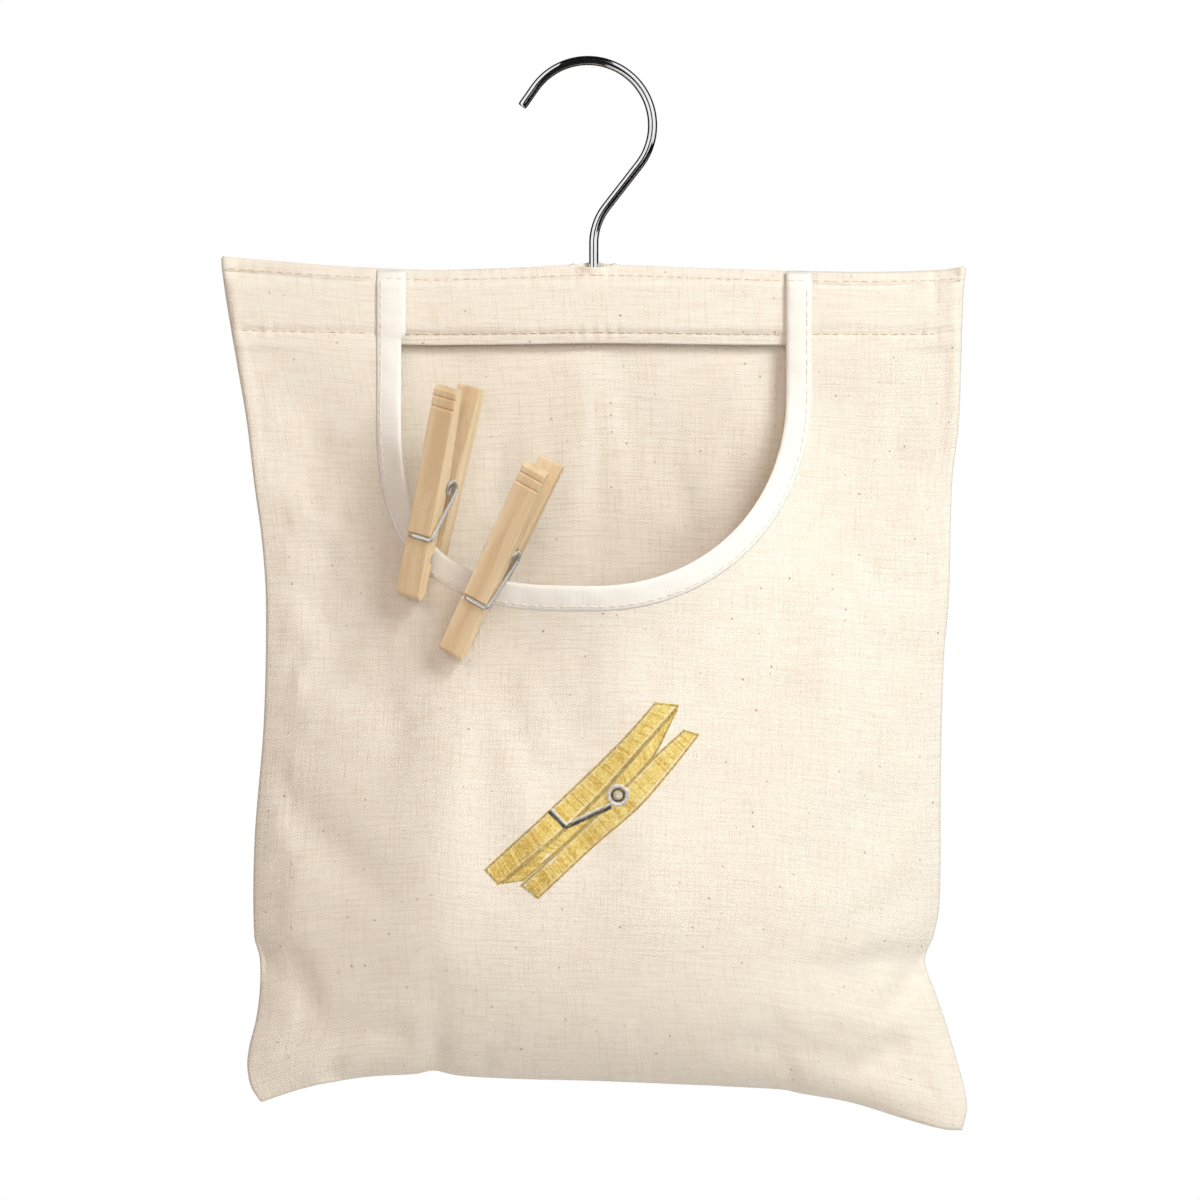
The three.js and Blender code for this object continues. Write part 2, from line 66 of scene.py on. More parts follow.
def meshPiece(name, points, faces, material):
    # points in mm, measured from the bag's middle line
    place = (np.asarray(points, float) + [shankX, 0, 0]) * mm
    mesh = bpy.data.meshes.new(name)
    mesh.from_pydata(place.tolist(), [], faces)
    mesh.validate()
    mesh.polygons.foreach_set("use_smooth", [True] * len(mesh.polygons))
    mesh.materials.append(material)
    return linked(name, mesh)


def keepPlace(piece, name, values):
    # a place on the flat cloth or in the wood's own frame, in metres, for the material
    made = piece.data.attributes.new(name, "FLOAT_VECTOR", "POINT")
    flat = np.zeros((len(piece.data.vertices), 3), np.float32)
    flat[:, :np.shape(values)[1]] = values
    made.data.foreach_set("vector", flat.ravel())


def smoothStep(x, low, high):
    t = np.clip((x - low) / (high - low), 0, 1)
    return t * t * (3 - 2 * t)


def smoothCurve(points, t):
    points = np.asarray(points, float)
    t = np.asarray(t, float)
    n = len(points)
    i = np.clip(np.searchsorted(points[:, 0], t) - 1, 0, n - 2)
    before = points[np.maximum(np.arange(n) - 1, 0)]
    after = points[np.minimum(np.arange(n) + 1, n - 1)]
    slope = (after[:, 1] - before[:, 1]) / (after[:, 0] - before[:, 0])
    span = points[i + 1, 0] - points[i, 0]
    s = np.clip((t - points[i, 0]) / span, 0, 1)
    start = (1 + 2 * s) * (1 - s) ** 2 * points[i, 1] + s * (1 - s) ** 2 * span * slope[i]
    end = s ** 2 * (3 - 2 * s) * points[i + 1, 1] + s ** 2 * (s - 1) * span * slope[i + 1]
    return start + end


def roughness2d(x, z, size, seed):
    # a soft random field from -1 to 1, with humps about this many mm across
    shape = np.broadcast(x, z).shape
    flat = zip(np.broadcast_to(x, shape).ravel() / size, np.broadcast_to(z, shape).ravel() / size)
    return np.array([noise.noise((a, b, seed)) for a, b in flat]).reshape(shape)


def spacedLine(points, step):
    points = np.asarray(points, float)
    along = np.concatenate([[0], np.cumsum(np.linalg.norm(np.diff(points, axis=0), axis=1))])
    at = np.linspace(0, along[-1], max(2, math.ceil(along[-1] / step) + 1))
    return np.stack([np.interp(at, along, points[:, k]) for k in range(points.shape[1])], axis=1)


def arc(centre, radius, start, end, steps):
    turns = np.linspace(start, end, steps)
    return [(centre[0] + radius * math.cos(k), centre[1] + radius * math.sin(k)) for k in turns]


def gridFaces(columns, rows, keep=None):
    faces = []
    for i in range(columns - 1):
        for j in range(rows - 1):
            if keep is None or keep[i, j]:
                a = i * rows + j
                faces.append((a, a + 1, a + rows + 1, a + rows))
    return faces


# materials

def newMaterial(name):
    material = bpy.data.materials.new(name)
    material.use_nodes = True
    tree = material.node_tree
    return material, tree, tree.nodes["Principled BSDF"]


def feed(tree, node, inputs):
    # each value is a number, a colour or another node's output
    for key, value in inputs.items():
        if isinstance(value, bpy.types.NodeSocket):
            tree.links.new(value, node.inputs[key])
        else:
            node.inputs[key].default_value = value


def add(tree, kind, inputs=None, **settings):
    node = tree.nodes.new(kind)
    for key, value in settings.items():
        setattr(node, key, value)
    feed(tree, node, inputs or {})
    return node


def math2(tree, operation, a, b):
    return add(tree, "ShaderNodeMath", {0: a, 1: b}, operation=operation).outputs[0]


def times(tree, a, b):
    return math2(tree, "MULTIPLY", a, b)


def plus(tree, a, b):
    return math2(tree, "ADD", a, b)


def minus(tree, a, b):
    return math2(tree, "SUBTRACT", a, b)


def mixed(tree, share, a, b):
    return add(tree, "ShaderNodeMix", {0: share, 6: a, 7: b}, data_type="RGBA").outputs[2]


def ramped(tree, value, low, high):
    return add(tree, "ShaderNodeMapRange", {0: value, 1: low, 2: high}, clamp=True).outputs[0]


def mottled(tree, place, scale, detail):
    return add(tree, "ShaderNodeTexNoise", {"Vector": place, "Scale": scale, "Detail": detail}).outputs[0]


def bumped(tree, height, strength, distance):
    inputs = {"Height": height, "Strength": strength, "Distance": distance}
    return add(tree, "ShaderNodeBump", inputs).outputs[0]


def ownPlace(tree):
    return add(tree, "ShaderNodeTexCoord").outputs["Object"]


def stretched(tree, place, scale):
    return add(tree, "ShaderNodeMapping", {"Vector": place, "Scale": scale}).outputs[0]


def placed(tree, name, scale):
    place = add(tree, "ShaderNodeAttribute", attribute_name=name, attribute_type="GEOMETRY")
    return stretched(tree, place.outputs["Vector"], scale)


def colour(red, green, blue):
    # written as it looks on a screen, 0 to 255
    def linear(c):
        c /= 255
        return c / 12.92 if c <= 0.04045 else ((c + 0.055) / 1.055) ** 2.4
    return (linear(red), linear(green), linear(blue), 1.0)


canvasLook = {
    "colour": colour(249, 242, 230), "shade": colour(232, 217, 198), "fleck": colour(128, 94, 64),
    "yarn": 1.15, "weaveDepth": 0.00016, "weaveShade": 0.34, "slubTone": 0.46,
    "fleckSpacing": 0.006, "fleckSize": 0.095, "roughness": 0.93,
}
tapeLook = {
    "colour": colour(251, 248, 241), "shade": colour(241, 236, 227), "fleck": colour(214, 204, 190),
    "yarn": 0.7, "weaveDepth": 0.00009, "weaveShade": 0.35, "slubTone": 0.15,
    "fleckSpacing": 0.014, "fleckSize": 0.03, "roughness": 0.9,
}


def wovenMaterial(name, look):
    material, tree, shader = newMaterial(name)
    place = placed(tree, "clothPlace", (1, 1, 1))
    wander = times(tree, mottled(tree, place, 420, 1), 3.2)
    parts = add(tree, "ShaderNodeSeparateXYZ", {0: place}).outputs
    turns = 2 * math.pi / (look["yarn"] * mm)
    warp, weft = [plus(tree, times(tree, parts[k], turns), wander) for k in (0, 1)]
    crossed = times(tree, math2(tree, "SINE", warp, 0), math2(tree, "SINE", weft, 0))
    weave = ramped(tree, crossed, -1, 1)

    # thicker stretches of single yarns, across and down
    across = mottled(tree, placed(tree, "clothPlace", (60, 900, 1)), 1, 2)
    down = mottled(tree, placed(tree, "clothPlace", (900, 60, 1)), 1, 2)
    slub = plus(tree, ramped(tree, across, 0.42, 0.72), ramped(tree, down, 0.48, 0.78))
    worn = ramped(tree, mottled(tree, place, 26, 3), 0.35, 0.7)

    # bits of seed husk left in the yarn
    spacing = {"Vector": place, "Scale": 1 / look["fleckSpacing"]}
    cells = add(tree, "ShaderNodeTexVoronoi", spacing, voronoi_dimensions="2D")
    lot = add(tree, "ShaderNodeSeparateColor", {0: cells.outputs["Color"]}).outputs
    size = times(tree, ramped(tree, lot[0], 0.72, 1.0), look["fleckSize"])
    fleck = ramped(tree, minus(tree, size, cells.outputs["Distance"]), 0, 0.03)
    fleck = times(tree, fleck, plus(tree, times(tree, lot[1], 0.5), 0.2))

    # the weave's low cells take the shade colour: painted shade in the hollows between the yarns, on top of
    # the bump below; the worn patches and the slubs take the same colour as a darker yarn tone
    body = mixed(tree, times(tree, weave, look["weaveShade"]), look["colour"], look["shade"])
    body = mixed(tree, times(tree, worn, 0.2), body, look["shade"])
    body = mixed(tree, times(tree, slub, look["slubTone"]), body, look["shade"])
    height = minus(tree, times(tree, slub, 0.7), weave)
    feed(tree, shader, {
        "Base Color": mixed(tree, fleck, body, look["fleck"]),
        "Normal": bumped(tree, height, 0.8, look["weaveDepth"]),
        "Roughness": plus(tree, times(tree, weave, 0.05), look["roughness"] - 0.05),
        "Sheen Weight": 0.08, "Sheen Roughness": 0.5, "Specular IOR Level": 0.2})
    return material


pegWoodLook = {
    "pale": colour(247, 225, 189), "dark": colour(227, 196, 153), "vein": colour(195, 157, 114),
    "roughness": 0.58,
}
barWoodLook = {
    "pale": colour(214, 186, 142), "dark": colour(190, 156, 108), "vein": colour(160, 122, 80),
    "roughness": 0.65,
}


def woodMaterial(name, look, attribute):
    material, tree, shader = newMaterial(name)

    def grain(scale, detail):
        if attribute:
            place = placed(tree, attribute, scale)
        else:  # along X, as the bar runs
            place = stretched(tree, ownPlace(tree), (scale[2], scale[0], scale[1]))
        return mottled(tree, place, 1, detail)

    broad = ramped(tree, grain((160, 160, 9), 3), 0.32, 0.68)
    fine = ramped(tree, grain((1500, 1500, 26), 3), 0.4, 0.7)
    vein = ramped(tree, grain((620, 620, 14), 2), 0.6, 0.74)
    ray = ramped(tree, grain((900, 900, 300), 1), 0.62, 0.72)
    body = mixed(tree, broad, look["dark"], look["pale"])
    for mark, strength, tone in ((fine, 0.3, "dark"), (vein, 0.34, "vein"), (ray, 0.16, "vein")):
        body = mixed(tree, times(tree, mark, strength), body, look[tone])
    feed(tree, shader, {
        "Base Color": body,
        "Normal": bumped(tree, minus(tree, times(tree, broad, 0.3), fine), 0.35, 0.0002),
        "Roughness": plus(tree, times(tree, fine, 0.18), look["roughness"] - 0.08),
        "Specular IOR Level": 0.35})
    return material


hookChromeLook = {"colour": colour(244, 244, 246), "roughness": 0.06, "spread": 0.08, "metal": 1.0}
springSteelLook = {"colour": colour(236, 236, 234), "roughness": 0.26, "spread": 0.2, "metal": 0.72}


def metalMaterial(name, look):
    material, tree, shader = newMaterial(name)
    place = ownPlace(tree)
    smear = mottled(tree, place, 170, 4)
    tint = tuple(c * 0.86 for c in look["colour"][:3]) + (1,)
    spread = times(tree, ramped(tree, smear, 0.4, 0.8), look["spread"])
    feed(tree, shader, {
        "Base Color": mixed(tree, ramped(tree, smear, 0.3, 0.75), look["colour"], tint),
        "Normal": bumped(tree, mottled(tree, place, 1400, 2), 0.04, 0.0001),
        "Roughness": plus(tree, look["roughness"], spread), "Metallic": look["metal"]})
    return material


def threadMaterial(name, pale, dark, sheen):
    material, tree, shader = newMaterial(name)
    place = ownPlace(tree)
    strand = mottled(tree, place, 900, 3)
    patch = ramped(tree, mottled(tree, place, 160, 2), 0.4, 0.7)
    body = mixed(tree, ramped(tree, strand, 0.35, 0.65), dark, pale)
    feed(tree, shader, {
        "Base Color": mixed(tree, times(tree, patch, 0.35), body, dark),
        "Normal": bumped(tree, strand, 0.4, 0.0001),
        "Roughness": plus(tree, times(tree, strand, 0.2), 0.5 - 0.2 * sheen),
        "Sheen Weight": 0.1, "Specular IOR Level": 0.3 + 0.2 * sheen})
    return material


canvas = wovenMaterial("naturalCanvas", canvasLook)
tapeCotton = wovenMaterial("whiteTape", tapeLook)
pegWood = woodMaterial("pegBeech", pegWoodLook, "grainPlace")
barWood = woodMaterial("barPine", barWoodLook, None)
hookChrome = metalMaterial("hookChrome", hookChromeLook)
springSteel = metalMaterial("springSteel", springSteelLook)
seamThread = threadMaterial("seamThread", colour(240, 226, 205), colour(206, 186, 160), 0)
tapeThread = threadMaterial("tapeThread", colour(248, 242, 232), colour(228, 216, 200), 0)
goldThread = threadMaterial("goldThread", colour(247, 231, 154), colour(226, 196, 106), 1)
# darker gold thread, used as painted shade in the embroidery
paintedShadeThread = threadMaterial("paintedShadeGoldThread", colour(239, 215, 128), colour(206, 170, 84), 1)
edgeThread = threadMaterial("edgeGoldThread", colour(232, 213, 134), colour(186, 163, 92), 1)
slateThread = threadMaterial("slateThread", colour(92, 104, 124), colour(52, 60, 78), 1)
whiteThread = threadMaterial("whiteThread", colour(250, 250, 250), colour(226, 229, 233), 1)
print("materials made")


# the bag's form, in mm: u runs from -1 at the left seam to 1 at the right seam

bagForm = {
    "width": 299.0, "height": 325.0, "cornerHalf": 149.2, "barHalf": 138.3, "cloth": 0.8, "sewn": 0.06,
    "topEdge": -81.0, "topStitch": -84.8, "barTop": -88.6, "barBottom": -104.2, "hemStitch": -107.4,
    "hemEdge": -111.9, "topStrip": 4.9, "barRoom": 4.3, "standOff": 2.2,
    "bellyFront": 34.0, "bellyBack": 25.0, "gape": 45.0,
    "seamTurn": 0.7, "under": 0.9, "underDrop": 63.0,
    # drop below the top edge, and the seam's place
    "leftSeam": [(0, -149.2), (14, -147.2), (38, -143.2), (62, -139.2), (86, -136.4), (110, -133.2),
                 (134, -131.6), (182, -132.4), (230, -136), (268, -136.2), (277, -134), (290, -134),
                 (302, -135.6), (314, -138.6), (322, -139.2), (330, -137.4), (338, -131.5)],
    "rightSeam": [(0, 149.2), (14, 148), (62, 146.4), (86, 143.8), (134, 142.4), (158, 140.4),
                  (206, 139.2), (254, 138.8), (268, 136.4), (278, 132.8), (290, 136.6), (302, 140.8),
                  (314, 144.4), (330, 148.8), (338, 149.8), (346, 148)],
    # u, and the bottom seam's height
    "bottom": [(-1, -416.4), (-0.95, -414.4), (-0.88, -411.6), (-0.81, -409.2), (-0.67, -406),
               (-0.53, -404.8), (-0.477, -403.4), (-0.43, -405), (-0.387, -405.8), (-0.25, -406.8),
               (-0.03, -407.6), (0.25, -409.2), (0.39, -410.2), (0.5, -411.2), (0.54, -412.6),
               (0.67, -416), (0.81, -422), (0.95, -427), (1, -427.4)],
    # u, and how far the top edge stands above its level
    "top": [(-1, 3.6), (-0.85, 1.8), (-0.72, 0.2), (-0.45, -1.8), (-0.32, -1.4), (-0.18, -0.6),
            (-0.05, 0.4), (0.06, 0.4), (0.29, -1), (0.55, -2.2), (0.76, -2.6), (0.95, -1.6), (1, -0.4)],
}
mouthForm = {"radius": 77.0, "centre": -132.0, "squareLeft": 3.2, "squareRight": 2.1}


def seamsAt(z):
    # middle and half width of the cloth's inner face, which lies its thickness inside the outline
    drop = np.maximum(0, bagForm["topEdge"] - z)
    left = smoothCurve(bagForm["leftSeam"], drop)
    right = smoothCurve(bagForm["rightSeam"], drop)
    return (left + right) / 2, (right - left) / 2 - bagForm["cloth"]


def bottomAt(u):
    return smoothCurve(bagForm["bottom"], u) + bagForm["cloth"]


def topAt(u):
    return bagForm["topEdge"] + smoothCurve(bagForm["top"], u)


def xAt(u, z):
    middle, half = seamsAt(z)
    return middle + u * half


def uAt(x, z):
    middle, half = seamsAt(z)
    return np.clip((x - middle) / half, -1, 1)


def shareDown(u, z):
    return np.clip((bagForm["hemStitch"] - z) / (bagForm["hemStitch"] - bottomAt(u)), 0, 1)


def turnedIn(u, z):
    # the cloth turns in at the side and bottom seams
    _, half = seamsAt(z)
    away = np.minimum((1 - np.abs(u)) * half, np.maximum(z - bottomAt(u), 0))
    share = np.clip(away / bagForm["seamTurn"], 0, 1)
    return bagForm["seamTurn"] * np.sqrt(1 - (1 - share) ** 2) * (1 - smoothStep(away, 3, 25))


def pastBar(u, z):
    # 0 at the side seams, 1 from the bar's ends inwards
    middle, half = seamsAt(np.full_like(z, bagForm["hemStitch"]))
    barShare = (bagForm["barHalf"] + np.abs(middle)) / half
    return np.clip((1 - np.abs(u)) / (1 - barShare), 0, 1)


leanForm = {"corner": 3.0, "cornerEnds": (-175, -120), "side": 3.0, "sideLevel": -325, "sideTall": 50,
            "sideWide": 0.28, "foot": 5.0, "footX": -138, "footZ": -416, "footRadius": 24}


def seamLead(u, z):
    # how far the seams stand in front of the middle plane: the top corners and the left side lean out,
    # and the left foot curls back
    atEnds = 1 - smoothStep(pastBar(u, z), 0, 1)
    corners = leanForm["corner"] * atEnds * smoothStep(z, *leanForm["cornerEnds"])
    away = np.hypot(xAt(u, z) - leanForm["footX"], z - leanForm["footZ"])
    foot = np.exp(-(away / leanForm["footRadius"]) ** 2)
    atLeft = 1 - smoothStep(1 + u, 0, leanForm["sideWide"])
    low = np.exp(-(((z - leanForm["sideLevel"]) / leanForm["sideTall"]) ** 2)) * atLeft
    return corners + leanForm["side"] * low - leanForm["foot"] * foot


def hemHalf(u, z):
    # half of the room between the layers, which go round the bar
    ends = np.sin(np.pi / 2 * pastBar(u, z))
    above = smoothStep(-z, -bagForm["topEdge"], -bagForm["barTop"]) ** 1.5
    below = smoothStep(z, bagForm["hemEdge"], bagForm["barBottom"])
    return bagForm["sewn"] + (bagForm["barRoom"] - bagForm["sewn"]) * ends * np.minimum(above, below)


def frontHemHalf(u, z):
    # the front panel hangs past the bar without drawing in much below it
    atBar = hemHalf(u, np.maximum(z, (bagForm["barTop"] + bagForm["barBottom"]) / 2))
    bottom = bagForm["barBottom"]
    under = bagForm["under"] * smoothStep(z, bottom - bagForm["underDrop"], bottom)
    return np.maximum(hemHalf(u, z), bagForm["sewn"] + (atBar - bagForm["sewn"]) * under)


pouchForm = {"square": 2.6, "across": 0.95, "low": 2.2, "full": 0.65, "lipMiddle": -0.085,
             "lipHalf": 0.755, "lipLevel": 0.2, "lipTall": 0.2, "lipStart": 0.15}


def belly(u, v):
    across = (1 - np.abs(u) ** pouchForm["square"]) ** pouchForm["across"]
    return across * np.maximum(0, np.sin(np.pi * v ** pouchForm["low"])) ** pouchForm["full"]


def lip(u, v):
    share = np.clip((u - pouchForm["lipMiddle"]) / pouchForm["lipHalf"], -1, 1)
    down = np.exp(-(((v - pouchForm["lipLevel"]) / pouchForm["lipTall"]) ** 2))
    return np.cos(np.pi / 2 * share) ** 2 * down * smoothStep(v, 0, pouchForm["lipStart"])


# main folds, which stand out: their ends as shares of the half width to the right and of the height down

mainFolds = {
    "width": 17.0,
    "front": [((-0.38, 0.57), (-0.43, 0.83), 2.6), ((0.12, 0.5), (0.16, 0.78), 2.2),
              ((0.62, 0.4), (0.7, 0.75), 2.6)],
    "back": [((-0.62, 0.42), (-0.66, 0.85), 2.6), ((-0.22, 0.36), (-0.26, 0.88), 2.4),
             ((0.2, 0.36), (0.26, 0.86), 2.6), ((0.6, 0.42), (0.66, 0.85), 2.4)],
}


def offLine(x, z, start, end):
    # distance from a line between two points, and the share along it
    along = np.subtract(end, start)
    t = np.clip(((x - start[0]) * along[0] + (z - start[1]) * along[1]) / (along @ along), 0, 1)
    return np.hypot(x - start[0] - t * along[0], z - start[1] - t * along[1]), t


def mainFolded(side, u, z):
    x = xAt(u, z)
    raised = np.zeros_like(x)
    half, top, tall = bagForm["width"] / 2, bagForm["topEdge"], bagForm["height"]
    for start, end, height in mainFolds[side]:
        away, _ = offLine(x, z, *[(a * half, top - b * tall) for a, b in (start, end)])
        raised += height * np.exp(-((away / mainFolds["width"]) ** 2))
    return raised * smoothStep(belly(u, shareDown(u, z)), 0, 0.5)


def frontDepth(u, z):
    v = shareDown(u, z)
    # beside the hem's layer at the seams, and clear of the tape between them
    beside = (bagForm["cloth"] + 0.15) * smoothStep(z, bagForm["hemEdge"] - 4, bagForm["hemEdge"])
    clear = bagForm["standOff"] * (1 - smoothStep(v, 0.02, 0.1))
    standOff = beside + (clear - beside) * smoothStep(1 - np.abs(u), 0.05, 0.25)
    pouch = bagForm["bellyFront"] * belly(u, v) + bagForm["gape"] * lip(u, v)
    return frontHemHalf(u, z) + standOff + pouch + mainFolded("front", u, z) + turnedIn(u, z)


def backDepth(u, z):
    pouch = bagForm["bellyBack"] * belly(u, shareDown(u, z))
    return hemHalf(u, z) + pouch + mainFolded("back", u, z) + turnedIn(u, z)


def mouthPoint(turn):
    x, z = -np.cos(turn), -np.sin(turn)
    power = np.where(x < 0, 2 / mouthForm["squareLeft"], 2 / mouthForm["squareRight"])
    reach = np.sign(x) * np.abs(x) ** power
    drop = np.abs(z) ** power
    return np.stack([mouthForm["radius"] * reach, mouthForm["centre"] - mouthForm["radius"] * drop], -1)


def mouthLine(step):
    # from the top left to the top right
    side = mouthForm["radius"]
    level = np.array([bagForm["topEdge"]])
    tops = [float(topAt(uAt(np.array([x]), level))[0]) for x in (-side, side)]
    curve = mouthPoint(np.linspace(0, np.pi, 400))
    return spacedLine([(-side, tops[0]), *curve, (side, tops[1])], step)


mouthArray = mouthLine(1.5)


def mouthDistance(x, z):
    # from the mouth's edge, negative inside the mouth
    flat = np.stack([x.ravel(), z.ravel()], 1)
    nearest = np.full(len(flat), 1e9)
    for point in mouthArray:
        nearest = np.minimum(nearest, np.hypot(flat[:, 0] - point[0], flat[:, 1] - point[1]))
    side, low = mouthForm["radius"], mouthForm["centre"]
    power = np.where(flat[:, 0] < 0, mouthForm["squareLeft"], mouthForm["squareRight"])
    down = np.maximum(0, low - flat[:, 1])
    inside = (np.abs(flat[:, 0]) / side) ** power + (down / side) ** power < 1
    return np.where(inside, -nearest, nearest).reshape(x.shape)


# the pegs' places, from the joints of the frame

pegPlaces = {}
joints = {joint["name"]: joint for joint in frame["joints"]}
for side in ("left", "right"):
    jaw, pull = joints[side + "_peg_jaw"], joints[side + "_peg_pull"]
    across = -np.array(jaw["axis"], float)
    up = np.array(pull["axis"], float)
    middle = np.array(jaw["pos_m"], float) / mm - [shankX, 0, 0]
    pegPlaces[side] = {"at": middle, "x": across, "z": up, "y": np.cross(up, across)}

jawLength = 46.0  # from the spring's axis to the tip


def pegMask(x, z, near, far):
    # 0 where a peg's jaws hold the cloth, 1 away from them
    mask = np.ones_like(x)
    for place in pegPlaces.values():
        start = place["at"][[0, 2]]
        away, _ = offLine(x, z, start, start - place["z"][[0, 2]] * jawLength)
        mask *= smoothStep(away, near, far)
    return mask


# fine folds: from x, z to x, z on the cloth, the half width, and the height, which fades to the far end

fineFolds = {
    "fade": 0.75,
    "front": [
        (133, -360, 112, -384, 5, -3.0), (128, -345, 96, -352, 8, 1.4), (120, -392, 92, -412, 7, -2.4),
        (-134, -357, -118, -372, 6, -1.2), (-106, -408, -101, -395, 5, -2.4),
        (-44, -406, -42, -394, 3.5, -1.8), (-60, -404, -62, -388, 3.5, -2.4), (81, -412, 78, -398, 3, -1.8),
        (4, -226, -2, -270, 8, 0.9), (22, -222, 24, -262, 7, -0.8), (137, -83, 137, -97, 1.8, -1.3)],
    "back": [
        (-4, -114, -8, -190, 7, -1.2), (12, -114, 20, -180, 8, 1.0), (52, -114, 66, -175, 9, -0.8),
        (-52, -114, -62, -180, 9, 0.8), (-134, -357, -110, -370, 6, -2.6), (133, -360, 108, -380, 6, -3.0),
        (-60, -404, -62, -386, 4, -2.4), (84, -412, 78, -394, 4, -2.2), (30, -404, 40, -380, 5, -1.8)],
}


def folded(side, x, z):
    raised = np.zeros_like(x)
    for x0, z0, x1, z1, width, height in fineFolds[side]:
        away, t = offLine(x, z, (x0, z0), (x1, z1))
        raised += height * (1 - fineFolds["fade"] * t ** 2) * np.exp(-((away / width) ** 2))
    return raised


def uneven(x, z, broad, fine, seed):
    return 0.9 * roughness2d(x, z, broad, seed) + 0.25 * roughness2d(x, z, fine, seed + 2)


# rows of stitches, which follow the top edge's rise and fall, the hem's row less than the top one

stitchRows = {
    "groove": 0.5, "half": 0.9, "pucker": 0.28, "puckerLength": 5.6, "puckerHalf": 3.2, "sway": 17,
    "follow": {"topStitch": 0.9, "hemStitch": 0.3}, "shank": (3, 7.5),
}


def rowRise(row, u):
    return smoothCurve(bagForm["top"], u) * stitchRows["follow"][row]


def sewnDown(row, x, z, u):
    # the dip along a row of stitches, and the small puckers beside it
    away = z - rowRise(row, u) - bagForm[row]
    sway = 2 * np.sin(x / stitchRows["sway"] + bagForm[row])
    wave = np.sin(2 * np.pi * x / stitchRows["puckerLength"] + sway)
    pucker = stitchRows["pucker"] * wave * np.exp(-((away / stitchRows["puckerHalf"]) ** 2))
    return pucker - stitchRows["groove"] * np.exp(-((away / stitchRows["half"]) ** 2))


def besideShank(x):
    # 0 where the hook's shank comes out, 1 beside it: the top row's dip would press the cloth into the wire
    return smoothStep(np.abs(x), *stitchRows["shank"])


# cloth simulation on a coarse grid, whose moves are carried to the fine one

clothPlan = {"frames": 22, "gravity": 0.35, "cap": 1.3, "columns": 62, "rows": 66}
clothSettings = {
    "quality": 7, "mass": 0.12, "tension_stiffness": 25, "compression_stiffness": 25, "shear_stiffness": 8,
    "bending_stiffness": 1.2, "air_damping": 4, "vertex_group_mass": "held", "shrink_min": -0.01,
    "use_pressure": True, "uniform_pressure_force": 0.9,
}


def settled(name, points, pins, keep):
    columns, rows = points.shape[:2]
    mesh = bpy.data.meshes.new(name)
    mesh.from_pydata((points.reshape(-1, 3) * mm).tolist(), [], gridFaces(columns, rows, keep))
    cloth = linked(name, mesh)
    group = cloth.vertex_groups.new(name="held")
    for i, weight in enumerate(pins.ravel()):
        group.add([i], float(weight), "REPLACE")
    modifier = cloth.modifiers.new("cloth", "CLOTH")
    for key, value in clothSettings.items():
        setattr(modifier.settings, key, value)
    modifier.settings.effector_weights.gravity = clothPlan["gravity"]
    modifier.collision_settings.use_collision = False
    modifier.point_cache.frame_start = 1
    modifier.point_cache.frame_end = clothPlan["frames"]
    for number in range(1, clothPlan["frames"] + 1):
        scene.frame_set(number)
    done = cloth.evaluated_get(bpy.context.evaluated_depsgraph_get()).data
    moved = np.zeros(len(done.vertices) * 3)
    done.vertices.foreach_get("co", moved)
    scene.frame_set(1)
    bpy.data.objects.remove(cloth)
    bpy.data.meshes.remove(mesh)
    shift = moved.reshape(points.shape) / mm - points
    size = np.linalg.norm(shift, axis=-1, keepdims=True)
    return shift * clothPlan["cap"] * np.tanh(size / clothPlan["cap"]) / np.maximum(size, 1e-9)


def carried(shift, fromU, fromT, toU, toT):
    # first along the columns, then across them, and smoothed
    fine = shift
    for fromAt, toAt in ((fromT, toT), (fromU, toU)):
        parts = [[np.interp(toAt, fromAt, row[:, k]) for row in fine] for k in range(3)]
        fine = np.stack(parts, -1).transpose(1, 0, 2)
    for _ in range(3):
        soft = np.pad(fine, ((1, 1), (1, 1), (0, 0)), mode="edge")
        fine = (soft[:-2, 1:-1] + soft[2:, 1:-1] + soft[1:-1, :-2] + soft[1:-1, 2:] + 4 * fine) / 8
    return fine


panelPlan = {
    "hemDrop": 36.0, "hemStep": 0.9, "step": 2.2, "across": 149, "down": 290, "close": 0.003,
    "slitHalf": 7.5, "slitGap": 2.4, "slitDrop": 7, "slitSag": 0.7, "tentHalf": 10.0, "tent": 1.9,
    "seamSteps": (0, 0.1, 0.35, 0.75), "hemRows": 36, "rimCut": 3.2, "stripRise": 0.7, "hemFollow": 0.7,
}


def panelColumns():
    even = np.linspace(-1, 1, round(2 * panelPlan["across"] / panelPlan["step"]) + 1)
    fine = np.linspace(-9, 9, 19) / bagForm["cornerHalf"]
    ends = np.concatenate([np.linspace(-1, -0.88, 14), np.linspace(0.88, 1, 14)])
    joined = np.unique(np.round(np.concatenate([even, fine, ends]), 4))
    joined = joined[np.concatenate([[True], np.diff(joined) > panelPlan["close"]])]
    # close columns where the cloth turns in
    turn = 1 - np.array(panelPlan["seamSteps"]) / panelPlan["across"]
    inner = joined[np.abs(joined) < turn.min() - panelPlan["close"]]
    return np.concatenate([-turn, inner, turn[::-1]])


def panelRows():
    # share down: 0 to 1 through the hem, 1 to 2 from there to the bottom seam
    hem = np.linspace(0, 1, round(panelPlan["hemDrop"] / panelPlan["hemStep"]) + 1)
    low = np.linspace(1, 2, round(panelPlan["down"] / panelPlan["step"]) + 1)[1:]
    low = 1 + (low - 1) * (1.12 - 0.12 * (low - 1) ** 2)
    strip = (bagForm["topStrip"] + np.array([-0.18, 0.18])) / panelPlan["hemDrop"]
    hem = hem[np.abs(hem - strip.mean()) > 0.5 / panelPlan["hemDrop"]]
    turn = 2 - np.array(panelPlan["seamSteps"]) / panelPlan["down"]
    low = low[low < turn.min() - panelPlan["close"]]
    return np.sort(np.concatenate([hem, strip, low, turn]))


us, ts = panelColumns(), panelRows()


